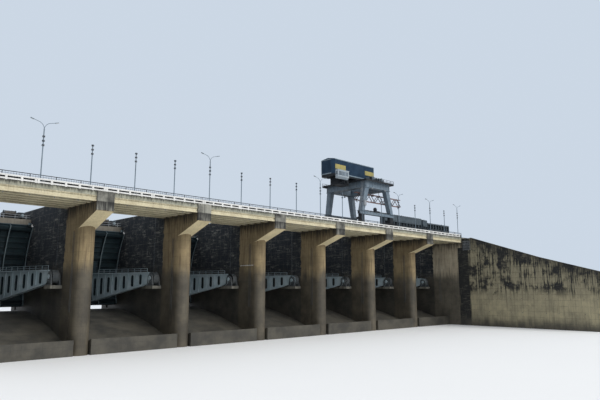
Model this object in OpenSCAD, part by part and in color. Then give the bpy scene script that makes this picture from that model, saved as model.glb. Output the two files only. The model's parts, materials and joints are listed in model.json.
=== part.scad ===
// Gated spillway of a dam, as a scale model at 1:10 (100 mm here is 1 m of the real structure).
// Seven bays with radial gates between round-nosed piers, a road bridge on corbels downstream,
// a gantry crane on the bridge, a service deck upstream, an abutment and its training wall.
// X runs along the dam, Y points upstream, Z is up from the foot of the piers.

/* [Bays] */
// Distance between the centres of two piers
bay_pitch = 2500; // [2300:50:2700]
// Width of a pier across the flow
pier_w = 380; // [320:10:460]
// Length of a pier from its round downstream nose to its upstream end
pier_len = 4400; // [4300:20:4600]

/* [Heights] */
// Road surface above the foot of the piers
deck_z = 3420; // [3360:10:3520]
// Thickness of the road slab
slab_t = 80; // [60:5:100]
// Depth of the bridge girders under the slab
girder_h = 120; // [100:5:140]
// Crest of the weir above the foot of the piers
crest_z = 850; // [780:10:880]

/* [Road bridge] */
// How far the bridge stands out downstream of the pier noses
bridge_out = 694; // [640:2:760]
// How far the bridge reaches upstream of the pier noses
bridge_in = 1170; // [1150:5:1200]
// How far the full girders reach upstream of the pier noses
girder_reach = 900; // [860:5:950]
// Number of girders in each span
girder_count = 6; // [4:1:7]
// Width of a girder flange
girder_flange = 60; // [50:2:80]
// Thickness of a girder web
girder_web = 24; // [16:2:30]
// Length of each girder end that rests on the pier
bearing_len = 45; // [30:5:60]
// Half width of the block between two spans
cap_half = 110; // [90:5:130]
// Height of the corbel soffit where it leaves the nose
corbel_low_z = 2695; // [2550:5:2750]
// Depth of the upright end of a corbel
corbel_tip_h = 200; // [160:5:240]
// Height of the concrete railing
railing_h = 105; // [90:5:130]
// Panels of the concrete railing in each bay
railing_panels = 9; // [7:1:11]

/* [Gates] */
// Distance of the trunnion axis from the pier noses
trunnion_y = 1020; // [980:5:1060]
// Height of the trunnion axis
trunnion_z = 1670; // [1640:5:1700]
// Outer radius of the gate skin
skin_r = 2460; // [2440:2:2480]
// Thickness of the gate skin
skin_t = 30; // [20:2:40]
// Depth of the ribs behind the skin
rib_depth = 90; // [70:5:120]
// Number of curved ribs on a gate
rib_count = 5; // [5:1:9]
// Angle of the gate lip below the trunnion at rest
lip_angle = 17; // [16.5:0.1:17.4]
// Angle of the gate top above the trunnion at rest
top_angle = 33.3; // [31:0.1:34]
// Gap between the gate and each pier
gate_side_gap = 10; // [6:1:16]
// Angle in plan between an arm and the pier
arm_angle = 14; // [12:0.5:15]
// Distance from the pier face to the middle of a hub
hub_offset = 130; // [125:1:140]
// Length of a hub along the axis
hub_len = 140; // [120:2:144]
// Outer radius of a hub
hub_r = 150; // [140:2:160]
// Radius of a trunnion pin
pin_r = 60; // [50:1:66]
// Clearance round a trunnion pin
pin_gap = 0.4; // [0.3:0.1:1]

/* [Crane] */
// Place of the crane along the dam, from the first pier
crane_x = 12130; // [11600:10:12600]
// Distance of the downstream crane rail from the pier noses, against the flow
rail_down_y = -450; // [-480:5:-420]
// Distance of the upstream crane rail from the pier noses
rail_up_y = 1120; // [1100:5:1140]
// Half the spread of the downstream legs at the rail
leg_foot_half = 790; // [740:5:840]
// Half the spread of the upstream legs at the rail
up_foot_half = 690; // [650:5:760]
// Half the spread of the legs at the top
leg_top_half = 555; // [540:5:600]
// Width of a crane leg
leg_w = 200; // [170:5:220]
// Underside of the top girders
girder_low_z = 4755; // [4700:5:4800]
// Depth of the top girders
top_girder_h = 235; // [210:5:260]
// Length of the machine house
house_len = 2090; // [1900:10:2150]
// Depth of the machine house
house_d = 550; // [500:10:600]
// Height of the machine house at its eaves
house_h = 500; // [450:10:560]
// Length of the lattice lifting beam
beam_len = 2480; // [2300:10:2520]
// Depth of the lifting beam
beam_h = 270; // [220:5:290]
// Width of the lifting beam
beam_w = 100; // [80:5:110]

/* [Abutment] */
// Thickness of the abutment block
abutment_w = 800; // [700:10:900]
// Distance of the downstream end of the training wall from the pier noses
wall_end = 5750; // [5600:10:5900]
// Height of the training wall at its low end
wall_low_h = 1930; // [1800:10:2100]
// Thickness of the training wall at its top
wall_top_t = 150; // [120:5:200]
// Thickness of the training wall at its foot
wall_foot_t = 600; // [400:10:700]

/* [Hidden] */
$fn = 64;

bays = 7;
abutment_x = bays * bay_pitch - pier_w / 2;
total_len = abutment_x + abutment_w + pier_w / 2;
site_x = -(total_len / 2 - pier_w / 2);
site_y = (wall_end - pier_len) / 2;
bay_w = bay_pitch - pier_w;
seat_z = deck_z - slab_t - girder_h;

concrete = "#b9ae94";
dark_concrete = "#6f685a";
white_paint = "#e8e6df";
gate_steel = "#2f3c42";
arm_steel = "#8a979c";
crane_steel = "#5d7079";
house_steel = "#2c3e47";
lattice_steel = "#7a5a50";
rail_steel = "#55606a";

module site() {
  translate([site_x, site_y, 0]) children();
}

// Puts a profile drawn as (distance upstream, height) into place and makes it w wide along X.
module across(x, w) {
  translate([x, 0, 0]) rotate([90, 0, 90]) linear_extrude(height = w) children();
}

/* Piers */

stop_slot_to_end = 550;
stop_slot_y = pier_len - stop_slot_to_end;
stop_slot_w = 100;
stop_slot_d = 40;
nose_slot_y = 330;
nose_slot_w = 45;
nose_slot_d = 14;
facing_t = 34;
seat_margin = 10;
crane_beam_h = 70;
crane_beam_w = 80;
crane_seat_z = deck_z - slab_t - crane_beam_h;

module pier_outline() {
  translate([0, pier_w / 2]) circle(d = pier_w);
  translate([-pier_w / 2, pier_w / 2]) square([pier_w, pier_len - pier_w]);
  translate([0, pier_len - pier_w / 2]) circle(d = pier_w);
}

module pier_slots() {
  for (side = [-1, 1]) {
    translate([side * pier_w / 2 - stop_slot_d, stop_slot_y, crest_z])
      cube([2 * stop_slot_d, stop_slot_w, deck_z]);
    translate([side * pier_w / 2 - nose_slot_d, nose_slot_y, 0])
      cube([2 * nose_slot_d, nose_slot_w, corbel_low_z]);
  }
}

module corbel_profile() {
  polygon([
    [pier_w / 2, corbel_low_z], [-bridge_out - facing_t, seat_z - corbel_tip_h],
    [-bridge_out - facing_t, seat_z], [pier_w, seat_z], [pier_w, corbel_low_z]
  ]);
}

// Room for the bridge on top of a wall w wide: a seat for the full girders and a higher one,
// further upstream, for the shallow beam under the crane rail.
module bearing_room(x, start, w) {
  translate([x, start, seat_z]) cube([w, girder_reach + seat_margin - start, deck_z]);
  translate([x, start, crane_seat_z]) cube([w, bridge_in - start, deck_z]);
}

module pier(k) {
  color(concrete) site() translate([k * bay_pitch, 0, 0]) {
    difference() {
      linear_extrude(height = deck_z) pier_outline();
      bearing_room(-pier_w, -pier_w, 2 * pier_w);
      pier_slots();
    }
    across(-pier_w / 2, pier_w) corbel_profile();
    translate([-cap_half, -bridge_out, seat_z])
      cube([2 * cap_half, bridge_out + bridge_in, girder_h]);
    translate([-pier_w / 2, -bridge_out - facing_t, seat_z])
      cube([pier_w, facing_t, deck_z + curb_h - seat_z]);
  }
}

/* Abutment and training wall */

recess_start = 510;
recess_end = 1080;
recess_z = 2910;
recess_d = 150;
coping_h = 20;
coping_out = 15;

module abutment() {
  color(concrete) site() {
    difference() {
      translate([abutment_x, -recess_start, 0])
        cube([abutment_w, recess_start + pier_len, deck_z]);
      bearing_room(abutment_x - 1, -recess_start - 1, abutment_w + 2);
      translate([abutment_x - stop_slot_d, stop_slot_y, crest_z])
        cube([2 * stop_slot_d, stop_slot_w, deck_z]);
    }
    across(abutment_x, abutment_w) polygon([
      [-recess_start, seat_z - corbel_tip_h], [-bridge_out, seat_z - corbel_tip_h],
      [-bridge_out, seat_z], [-recess_start, seat_z]
    ]);
    translate([abutment_x + pier_w / 2 - cap_half, -bridge_out, seat_z])
      cube([abutment_w - pier_w / 2 + cap_half, bridge_out + bridge_in, girder_h]);
  }
}

// Line of the wall's sloping top, each point as its distance upstream and its height
wall_top = [[-recess_end, 3380], [-3675, 2515], [-wall_end, wall_low_h]];

module wall_section() {
  polygon([
    [0, 0], [wall_foot_t, 0], [wall_top_t, deck_z], [0, deck_z]
  ]);
}

module training_wall() {
  color(concrete) site() {
    difference() {
      translate([abutment_x, -recess_start, 0]) rotate([90, 0, 0])
        linear_extrude(height = wall_end - recess_start) wall_section();
      across(abutment_x - wall_foot_t, 3 * wall_foot_t) polygon(concat(
        [[-recess_start + 1, seat_z - corbel_tip_h], [-bridge_out - 1, seat_z - corbel_tip_h],
          [-bridge_out - 1, wall_top[0][1]]],
        wall_top,
        [[-wall_end - 1, wall_low_h], [-wall_end - 1, 2 * deck_z], [-recess_start + 1, 2 * deck_z]]
      ));
      translate([abutment_x - 1, -recess_end, recess_z])
        cube([recess_d / 2 + 1, recess_end - bridge_out - 40, 380]);
    }
    across(abutment_x - coping_out, wall_top_t)
      polygon(concat(wall_top, [for (i = [2, 1, 0]) wall_top[i] + [0, coping_h]]));
  }
}

/* Weir */

lip_past_crest = 22;
crest_y = trunnion_y + skin_r * cos(lip_angle) - lip_past_crest;
weir_up_len = 700;
weir_up_y = crest_y + weir_up_len;
bucket_r = 500;
bucket_lip_z = 330;
bucket_low_z = 230;
weir_steps = 14;

// Height of the water face of the weir, falling away downstream of the crest
function weir_z(y) =
  crest_z - (crest_z - bucket_low_z) * pow((crest_y - y) / (crest_y - bucket_r), 1.6);

module weir_profile() {
  polygon(concat(
    [[0, 0], [0, bucket_lip_z]],
    [for (a = [0 : 4]) [bucket_r * a / 5 + 40,
      bucket_low_z + (bucket_lip_z - bucket_low_z) * pow(1 - a / 5, 2)]],
    [for (i = [0 : weir_steps])
      let (y = bucket_r + (crest_y - bucket_r) * i / weir_steps) [y, weir_z(y)]],
    [[crest_y + 250, crest_z - 15], [crest_y + 450, crest_z - 80],
      [crest_y + 560, crest_z - 170], [weir_up_y, crest_z - 280], [weir_up_y, 0]]
  ));
}

module spillway_weir() {
  color(dark_concrete) site() for (k = [0 : bays - 1])
    across(k * bay_pitch + pier_w / 2, bay_w) weir_profile();
}

/* Road bridge */

flange_t = 24;
curb_h = 15;
curb_w = 110;
upper_curb_w = 30;

module girder_profile() {
  translate([-girder_flange / 2, 0]) square([girder_flange, flange_t]);
  translate([-girder_web / 2, 0]) square([girder_web, girder_h]);
  translate([-girder_flange / 2, girder_h - flange_t]) square([girder_flange, flange_t]);
}

module bridge_girders() {
  first = -bridge_out + girder_flange / 2;
  step = (bridge_out + girder_reach - girder_flange) / (girder_count - 1);
  length = bay_w + 2 * bearing_len;
  color(concrete) site() for (k = [0 : bays - 1])
    translate([k * bay_pitch + pier_w / 2 - bearing_len, 0, 0]) {
      for (i = [0 : girder_count - 1])
        translate([0, first + i * step, seat_z])
          rotate([90, 0, 90]) linear_extrude(height = length) girder_profile();
      translate([0, rail_up_y - crane_beam_w / 2, crane_seat_z])
        cube([length, crane_beam_w, crane_beam_h]);
    }
}

module road_slab() {
  length = total_len;
  color(concrete) site() translate([-pier_w / 2, 0, 0])
    rotate([90, 0, 90]) linear_extrude(height = length) {
      translate([-bridge_out, deck_z - slab_t]) square([bridge_out + bridge_in, slab_t]);
      translate([-bridge_out, deck_z]) square([curb_w, curb_h]);
      translate([bridge_in - upper_curb_w, deck_z]) square([upper_curb_w, curb_h]);
    }
}

post_w = 40;
twin_post_gap = 50;
post_t = 30;
rail_bar_h = 30;
low_bar_z = 10;

module road_railing() {
  panel = bay_pitch / railing_panels;
  posts = bays * railing_panels - 1;
  base_z = deck_z + curb_h;
  color(white_paint) site() {
    for (i = [0 : posts]) {
      twin = i % railing_panels == 0 || i % railing_panels == floor(railing_panels / 2);
      for (shift = twin ? [-twin_post_gap / 2, twin_post_gap / 2] : [0])
        translate([i * panel + shift - post_w / 2, -bridge_out, base_z])
          cube([post_w, post_t, railing_h]);
    }
    for (z = [base_z + low_bar_z, base_z + railing_h - rail_bar_h])
      translate([0, -bridge_out + 4, z]) cube([posts * panel, post_t - 8, rail_bar_h]);
  }
}

post_pitch = 1000;
first_post_x = 180;
post_count = 18;
lamp_places = [1, 5, 9, 13, 15, 17];
plain_post_h = 980;
lamp_post_h = 1120;
pole_r = 11;
pole_foot_h = 60;
lamp_arm_r = 5;
lamp_bend_r = 150;
lamp_bend = 75;
lamp_reach = 100;
lamp_size = [70, 28, 14];
insulator_r = 22;
insulator_h = 34;
insulator_pitch = 90;
pole_y = -640;

module pole(h) {
  cylinder(r = 2 * pole_r, h = pole_foot_h);
  cylinder(r = pole_r, h = h);
}

// Arm that leaves the top of a pole upright, bends over towards +X and carries a lamp.
module lamp_bracket() {
  translate([lamp_bend_r, 0, 0]) rotate([90, 0, 0]) rotate([0, 0, 180 - lamp_bend])
    rotate_extrude(angle = lamp_bend) translate([lamp_bend_r, 0]) circle(r = lamp_arm_r, $fn = 12);
  translate([lamp_bend_r * (1 - cos(lamp_bend)), 0, lamp_bend_r * sin(lamp_bend)])
    rotate([0, lamp_bend, 0]) {
      cylinder(r = lamp_arm_r, h = lamp_reach, $fn = 12);
      translate([-lamp_size[2] / 2, -lamp_size[1] / 2, lamp_reach - lamp_arm_r])
        cube([lamp_size[2], lamp_size[1], lamp_size[0]]);
    }
}

module lamp_posts() {
  color(rail_steel) site() for (i = [0 : post_count - 1]) {
    lamp = len(search(i, lamp_places)) > 0;
    translate([first_post_x + i * post_pitch, pole_y, deck_z + curb_h]) {
      pole(lamp ? lamp_post_h : plain_post_h);
      for (j = [0 : 2])
        translate([0, 0, plain_post_h - insulator_h - j * insulator_pitch])
          cylinder(r = insulator_r, h = insulator_h, $fn = 16);
      if (lamp)
        for (side = [0, 1]) mirror([side, 0, 0])
          translate([pole_r - 2 * lamp_arm_r, 0, lamp_post_h - 2 * lamp_arm_r]) lamp_bracket();
    }
  }
}

collector_y = -600;
collector_h = 190;
collector_bar = 12;
board_t = 10;
board_h = 110;

// Fence of the crane's supply line: thin posts and a top bar above a solid cable board.
module collector_rail() {
  span = bay_pitch / 5;
  count = bays * 5;
  color(rail_steel) site() {
    for (i = [0 : count])
      translate([i * span - collector_bar / 2, collector_y, deck_z + curb_h])
        cube([collector_bar, collector_bar, collector_h]);
    translate([0, collector_y, deck_z + curb_h + collector_h - collector_bar])
      cube([count * span, collector_bar, collector_bar]);
    translate([0, collector_y - board_t + 1, deck_z + curb_h])
      cube([count * span, board_t, board_h]);
  }
}

rail_w = 14;
rail_h = 16;

module crane_rails() {
  color(rail_steel) site() for (y = [rail_down_y, rail_up_y])
    translate([-pier_w / 2, y - rail_w / 2, deck_z]) cube([total_len, rail_w, rail_h]);
}

/* Upstream service deck */

service_y = 3220;
service_z = deck_z - 250;
service_t = 90;
service_beam_h = 100;
service_beam_w = 60;
service_rail_h = 110;
service_bar = 10;
slot_edge = 40;
walkway_edge = 100;

// Deck on two beams between the gate and the stoplog slot, and a walkway upstream of the slot
module service_deck() {
  walkway_y = stop_slot_y + stop_slot_w + slot_edge;
  color(dark_concrete) site() for (k = [0 : bays - 1]) {
    x = k * bay_pitch + pier_w / 2;
    translate([x, service_y, service_z - service_t])
      cube([bay_w, stop_slot_y - service_y - slot_edge, service_t]);
    for (y = [service_y, stop_slot_y - slot_edge - service_beam_w])
      translate([x, y, service_z - service_t - service_beam_h])
        cube([bay_w, service_beam_w, service_beam_h]);
    translate([x, walkway_y, service_z - service_t])
      cube([bay_w, pier_len - walkway_edge - walkway_y, service_t]);
  }
}

module service_railing() {
  step = bay_w / 8;
  color(rail_steel) site() for (k = [0 : bays - 1], y = [service_y, pier_len - 1.2 * walkway_edge]) {
    x = k * bay_pitch + pier_w / 2;
    for (i = [0 : 7])
      translate([x + step * (i + 0.5), y, service_z])
        cube([service_bar, service_bar, service_rail_h]);
    for (z = [0.5, 1])
      translate([x + 20, y, service_z + z * service_rail_h - service_bar])
        cube([bay_w - 40, service_bar, service_bar]);
  }
}

hoist_y = 3330;
hoist_len = 360;
hoist_d = 220;
hoist_bar = 30;
hoist_foot_h = 70;
hoist_stand_h = 90;
drum_r = 65;
gearbox_gap = 20;
gearbox = [150, 140, 190];
hoist_from_pier = 120;

module hoist(x) {
  translate([x, hoist_y, service_z]) {
    for (y = [0, hoist_d - hoist_bar])
      translate([0, y, 0]) cube([hoist_len, hoist_bar, hoist_foot_h]);
    for (side = [0, hoist_len - hoist_bar])
      translate([side, 0, hoist_foot_h]) cube([hoist_bar, hoist_d, hoist_stand_h]);
    translate([hoist_bar, hoist_d / 2, hoist_foot_h + hoist_stand_h - 10])
      rotate([0, 90, 0]) cylinder(r = drum_r, h = hoist_len - 2 * hoist_bar);
    translate([hoist_len + gearbox_gap, (hoist_d - gearbox[1]) / 2, 0]) cube(gearbox);
  }
}

module gate_hoists() {
  color(rail_steel) site() for (k = [0 : bays - 1])
    for (side = [hoist_from_pier, bay_w - hoist_from_pier - hoist_len - gearbox_gap - gearbox[0]])
      hoist(k * bay_pitch + pier_w / 2 + side);
}

/* Radial gates */

rib_in_r = skin_r - skin_t - rib_depth;
rib_t = 24;
main_rib_w = 120;
gate_girder_t = 34;
lug_inset = 60;
lug_w = 40;
lug_h = 70;
lug_depth = 110;
gate_girders = [-13, -5, 4, 15, 31.5];
main_rib_top = 12;
arm_t = 50;
arm_flange = 120;
arm_flange_t = 25;
arm_top = hub_r + 5;
arm_low_y = 405;
arm_low = -207;
arm_slope = 0.222;
arm_start = 90;
slot_places = [440, 740, 1050, 1360, 1650, 1930, 2190];
slot_w = 80;
walk_h = 105;
walk_bar = 8;
end_gap = 0.3;

function along(y) = y / cos(arm_angle);
function arm_bottom(y) = arm_low - arm_slope * (y - arm_low_y);

module gate_site(k) {
  site() translate([k * bay_pitch + pier_w / 2, trunnion_y, trunnion_z]) children();
}

// Part of a ring about the trunnion axis, from angle a up through angle sweep.
module ring_part(r_in, r_out, x, w, a, sweep) {
  rotate([90, 0, 90]) rotate([0, 0, a]) rotate_extrude(angle = sweep, $fn = 240)
    translate([r_in, x]) square([r_out - r_in, w]);
}

module gate_skin(k) {
  sweep = lip_angle + top_angle;
  width = bay_w - 2 * gate_side_gap;
  step = (width - rib_t) / (rib_count - 1);
  arm_end = hub_offset + rib_in_r * tan(arm_angle);
  color(gate_steel) gate_site(k) translate([gate_side_gap, 0, 0]) {
    ring_part(skin_r - skin_t, skin_r, 0, width, -lip_angle, sweep);
    for (i = [0 : rib_count - 1])
      ring_part(rib_in_r, skin_r - skin_t + 1, i * step, rib_t, -lip_angle, sweep);
    for (a = gate_girders)
      rotate([a, 0, 0]) translate([0, rib_in_r + 20, -gate_girder_t / 2])
        cube([width, rib_depth - 20 + skin_t / 2, gate_girder_t]);
    for (x = [arm_end, bay_w - arm_end])
      ring_part(rib_in_r - 10, skin_r - skin_t + 2, x - gate_side_gap - main_rib_w / 2, main_rib_w,
        -lip_angle, lip_angle + main_rib_top);
    for (x = [lug_inset, width - lug_inset - lug_w])
      rotate([top_angle, 0, 0]) translate([x, skin_r - lug_depth, -5])
        cube([lug_w, lug_depth - 3, lug_h]);
  }
}

module arm_slot(y) {
  low = arm_bottom(y) + arm_flange_t;
  high = arm_top - arm_flange_t;
  middle = (low + high) / 2;
  reach = (high - low) * 0.28;
  translate([along(y) - slot_w / 2, middle - reach]) square([slot_w, 2 * reach]);
  for (end = [-1, 1])
    translate([along(y), middle + end * reach]) circle(d = slot_w);
}

module arm_plate() {
  far = along(rib_in_r);
  linear_extrude(height = arm_t, center = true) difference() {
    polygon([
      [arm_start, arm_top], [far, arm_top], [far, arm_bottom(rib_in_r)],
      [along(arm_low_y), arm_low], [arm_start, -hub_r * 0.75]
    ]);
    for (y = slot_places) arm_slot(y);
  }
  linear_extrude(height = arm_flange, center = true) {
    translate([hub_r, arm_top - arm_flange_t]) square([far - hub_r, arm_flange_t]);
    polygon([
      [along(arm_low_y), arm_low], [far, arm_bottom(rib_in_r)],
      [far, arm_bottom(rib_in_r) + arm_flange_t], [along(arm_low_y), arm_low + arm_flange_t]
    ]);
  }
}

module arm_walk() {
  far = along(rib_in_r) - 160;
  count = 8;
  step = (far - 2 * hub_r) / count;
  for (i = [0 : count])
    translate([2 * hub_r + i * step, arm_top - 1, arm_flange / 2 - walk_bar])
      cube([walk_bar, walk_h, walk_bar]);
  for (h = [0.5, 1])
    translate([2 * hub_r, arm_top + h * walk_h - walk_bar, arm_flange / 2 - walk_bar])
      cube([far - 2 * hub_r + walk_bar, walk_bar, walk_bar]);
}

module gate_arm() {
  difference() {
    union() {
      rotate([0, 90, 0]) cylinder(r = hub_r, h = hub_len, center = true);
      intersection() {
        rotate([90, 0, 90 - arm_angle]) {
          arm_plate();
          mirror([0, 0, 1]) arm_walk();
        }
        rotate([0, 90, 0]) cylinder(r = rib_in_r - 10 - end_gap, h = 4 * rib_in_r, center = true);
      }
    }
    rotate([0, 90, 0]) cylinder(r = pin_r + pin_gap, h = 4 * hub_len, center = true);
  }
}

module gate_arms(k) {
  color(arm_steel) gate_site(k) {
    translate([hub_offset, 0, 0]) gate_arm();
    translate([bay_w - hub_offset, 0, 0]) mirror([1, 0, 0]) gate_arm();
  }
}

/* Trunnion seats on the piers */

ledge_drop = 193;
ledge_t = 75;
ledge_wide = 250;
ledge_narrow = 100;
ledge_half = 170;
ledge_far = 680;
ear_t = 28;
ear_r = 110;
ear_foot = 150;

module each_seat() {
  for (k = [0 : bays - 1]) {
    gate_site(k) children();
    gate_site(k) translate([bay_w, 0, 0]) mirror([1, 0, 0]) children();
  }
}

module trunnion_ledges() {
  color(white_paint) each_seat() translate([0, 0, -ledge_drop - ledge_t])
    linear_extrude(height = ledge_t) {
      translate([0, -ledge_half]) square([ledge_wide, 2 * ledge_half]);
      square([ledge_narrow, ledge_far]);
    }
}

module ear(x) {
  across(x, ear_t) difference() {
    union() {
      polygon([
        [-ear_foot, -ledge_drop], [ear_foot, -ledge_drop], [ear_r, 0], [-ear_r, 0]
      ]);
      circle(r = ear_r);
    }
    circle(r = pin_r - 2);
  }
}

module trunnion_brackets() {
  inner = hub_offset - hub_len / 2 - ear_t - 10;
  outer = hub_offset + hub_len / 2 + 10;
  color(arm_steel) each_seat() {
    ear(inner);
    ear(outer);
    rotate([0, 90, 0]) cylinder(r = pin_r, h = outer + ear_t + 8);
  }
}

/* Stoplogs stored on the bridge */

log_t = 200;
log_gap = 0.3;
log_y = 0;
log_cell = 195;
log_post = 18;
log_rim = 42;
bearer_w = 60;
bearer_h = 30;
// Each stack as its place along the dam, its length, its number of logs and the height of one
log_stacks = [
  [13190, 780, 3, 210], [14000, 1560, 3, 210], [15670, 300, 3, 200], [16010, 1590, 2, 255]
];

module stoplog(length, h, open) {
  count = round(length / log_cell);
  cell = length / count;
  difference() {
    cube([length, log_t, h - log_gap]);
    if (open)
      for (i = [0 : count - 1])
        translate([i * cell + log_post, -1, log_rim])
          cube([cell - 2 * log_post, log_t / 2, h - 2 * log_rim]);
  }
}

module stored_stoplogs() {
  color(gate_steel) site() for (s = log_stacks) {
    for (row = [0 : s[2] - 1])
      translate([s[0], log_y, deck_z + bearer_h + row * s[3]]) stoplog(s[1], s[3], row < 2);
    for (end = [0, 1])
      translate([s[0] + bearer_w / 2 + end * (s[1] - 2 * bearer_w), log_y - 10, deck_z])
        cube([bearer_w, log_t + 20, bearer_h]);
  }
}

/* Gantry crane */

bogie_h = 120;
bogie_len = 420;
wheel_r = 32;
sill_z = 3840;
sill_h = 100;
sill_w = 120;
foot_z = sill_z + sill_h;
wheel_gap = 0.3;
axle_r = 8;
sill_past_foot = 120;
// The downstream and the upstream pair of legs, each as its rail and half its spread at the foot
leg_frames = [[rail_down_y, leg_foot_half], [rail_up_y, up_foot_half]];

module crane_site() {
  site() translate([crane_x, 0, 0]) children();
}

module bogie() {
  base = deck_z + rail_h + wheel_gap;
  for (x = [-150, -50, 50, 150])
    translate([x, 0, base + wheel_r]) rotate([90, 0, 0]) {
      cylinder(r = wheel_r, h = 30, center = true);
      cylinder(r = axle_r, h = 84, center = true);
    }
  for (side = [-1, 1])
    translate([-bogie_len / 2, side * 32 - 10, base + 12]) cube([bogie_len, 20, 60]);
  translate([-bogie_len / 2, -42, base + wheel_r * 2 + 8])
    cube([bogie_len, 84, 50]);
  translate([-90, -sill_w / 2, base + wheel_r * 2 + 50])
    cube([180, sill_w, sill_z - base - wheel_r * 2 - 50]);
}

module crane_bogies() {
  color(rail_steel) crane_site() for (frame = leg_frames, side = [-1, 1])
    translate([side * frame[1], frame[0], 0]) bogie();
}

// Outline of a leg whose foot stands half away from the middle of the crane
module leg_profile(half) {
  polygon([
    [half - leg_w * 0.35, foot_z], [half + leg_w * 0.35, foot_z],
    [leg_top_half + leg_w / 2, girder_low_z], [leg_top_half - leg_w / 2, girder_low_z]
  ]);
}

module crane_legs() {
  color(crane_steel) crane_site() for (frame = leg_frames) {
    reach = frame[1] + sill_past_foot;
    translate([-reach, frame[0] - sill_w / 2, sill_z]) cube([2 * reach, sill_w, sill_h]);
    for (side = [0, 1]) mirror([side, 0, 0])
      translate([0, frame[0] + leg_w * 0.4, 0]) rotate([90, 0, 0])
        linear_extrude(height = leg_w * 0.8) leg_profile(frame[1]);
  }
}

module crane_girders() {
  out = leg_top_half + leg_w / 2;
  color(crane_steel) crane_site() {
    for (y = [rail_down_y, rail_up_y])
      translate([-out, y - leg_w / 2, girder_low_z]) cube([2 * out, leg_w, top_girder_h]);
    for (x = [-leg_top_half, leg_top_half])
      translate([x - leg_w / 2, rail_down_y, girder_low_z])
        cube([leg_w, rail_up_y - rail_down_y, top_girder_h]);
  }
}

top_z = girder_low_z + top_girder_h;
platform_t = 10;
platform_out = 110;
trolley_rail_h = 20;
platform_bar = 8;

module platform_rail(length) {
  count = floor(length / 180);
  for (i = [0 : count])
    translate([i * (length - platform_bar) / count, 0, 0]) cube([platform_bar, platform_bar, 110]);
  for (z = [50, 102]) translate([0, 0, z]) cube([length, platform_bar, platform_bar]);
}

module crane_platform() {
  out = leg_top_half + leg_w / 2;
  low = rail_down_y - leg_w / 2;
  high = rail_up_y + leg_w / 2;
  color(rail_steel) crane_site() {
    for (y = [low - platform_out, high]) {
      translate([-out - platform_out, y, top_z - platform_t])
        cube([2 * (out + platform_out), platform_out, platform_t]);
    }
    for (x = [-out - platform_out, out])
      translate([x, low, top_z - platform_t]) cube([platform_out, high - low, platform_t]);
    translate([-out - platform_out, low - platform_out, top_z - 1])
      platform_rail(2 * (out + platform_out));
    translate([-out - platform_out, high + platform_out - platform_bar, top_z - 1])
      platform_rail(2 * (out + platform_out));
    for (x = [-leg_top_half, leg_top_half])
      translate([x - rail_w / 2, low, top_z]) cube([rail_w, high - low, trolley_rail_h]);
  }
}

/* Trolley with its machine house, moving across the dam on the crane */

house_y = -100;
house_x = -1730;
frame_z = top_z + trolley_rail_h + 60;
frame_h = 60;
frame_beam = 60;
rope_y = -270;
rope_places = [60, 400];
rope_r = 4;
rope_gap = 24;
frame_past_rail = 70;
skirt_len = 330;
skirt_drop = 20;
hung_box = [520, 360, 250];
hung_box_x = -1400;
hung_box_y = 0;
rope_drum_r = 40;
drum_y = rope_y - rope_drum_r - rope_r - wheel_gap;
hoist_front = rope_y - 110;
ridge_h = 45;
house_corner = 60;
cabin = [540, 120, 285];
cabin_x = -1660;
cabin_top = 120;
cabin_slope = 60;

module trolley_wheel(x, y) {
  translate([x, y, top_z + trolley_rail_h + 30]) rotate([0, 90, 0]) {
    cylinder(r = 30 - wheel_gap, h = 30, center = true);
    cylinder(r = axle_r, h = 80, center = true);
  }
  translate([x - 40, y - 45, top_z + trolley_rail_h + 26]) cube([20, 90, 40]);
  translate([x + 20, y - 45, top_z + trolley_rail_h + 26]) cube([20, 90, 40]);
}

module trolley_frame() {
  color(crane_steel) crane_site() {
    for (y = [house_y, house_y + house_d - frame_beam])
      translate([house_x, y, frame_z])
        cube([leg_top_half + frame_past_rail - house_x, frame_beam, frame_h]);
    for (x = [-leg_top_half - 40, -100, leg_top_half - 40])
      translate([x, house_y, frame_z]) cube([80, house_d, frame_h]);
    translate([house_x, house_y, frame_z - skirt_drop])
      cube([skirt_len, house_d, frame_h + skirt_drop]);
    translate([hung_box_x, hung_box_y, frame_z + 2 - hung_box[2]]) cube(hung_box);
    for (y = [hung_box_y, hung_box_y + hung_box[1] - frame_beam])
      translate([hung_box_x, y, frame_z]) cube([hung_box[0], frame_beam, frame_h]);
    for (x = [hung_box_x, hung_box_x + hung_box[0] - frame_beam])
      translate([x, house_y, frame_z]) cube([frame_beam, house_d, frame_h]);
    for (x = [-leg_top_half, leg_top_half], y = [house_y + 60, house_y + house_d - 60])
      trolley_wheel(x, y);
  }
}

// House with a low ridge along it and a bevelled corner downstream
module machine_house() {
  color(house_steel) crane_site() translate([house_x, house_y, frame_z + frame_h])
    difference() {
      across(0, house_len) polygon([
        [0, 0], [house_d, 0], [house_d, house_h], [house_d / 2, house_h + ridge_h], [0, house_h]
      ]);
      translate([-1, -1, -1]) linear_extrude(height = 2 * house_h)
        polygon([[0, 0], [house_corner + 1, 0], [0, 2 * house_corner + 1]]);
    }
}

// Driver's cabin on the front of the house, hanging below its floor
module operator_cabin() {
  floor_z = frame_z + frame_h;
  color(crane_steel) crane_site()
    translate([cabin_x, house_y - cabin[1], floor_z + cabin_top - cabin[2]])
      across(0, cabin[0]) polygon([
        [0, cabin_slope], [cabin_slope, 0], [cabin[1], 0], [cabin[1], cabin[2]], [0, cabin[2]]
      ]);
}

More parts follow.
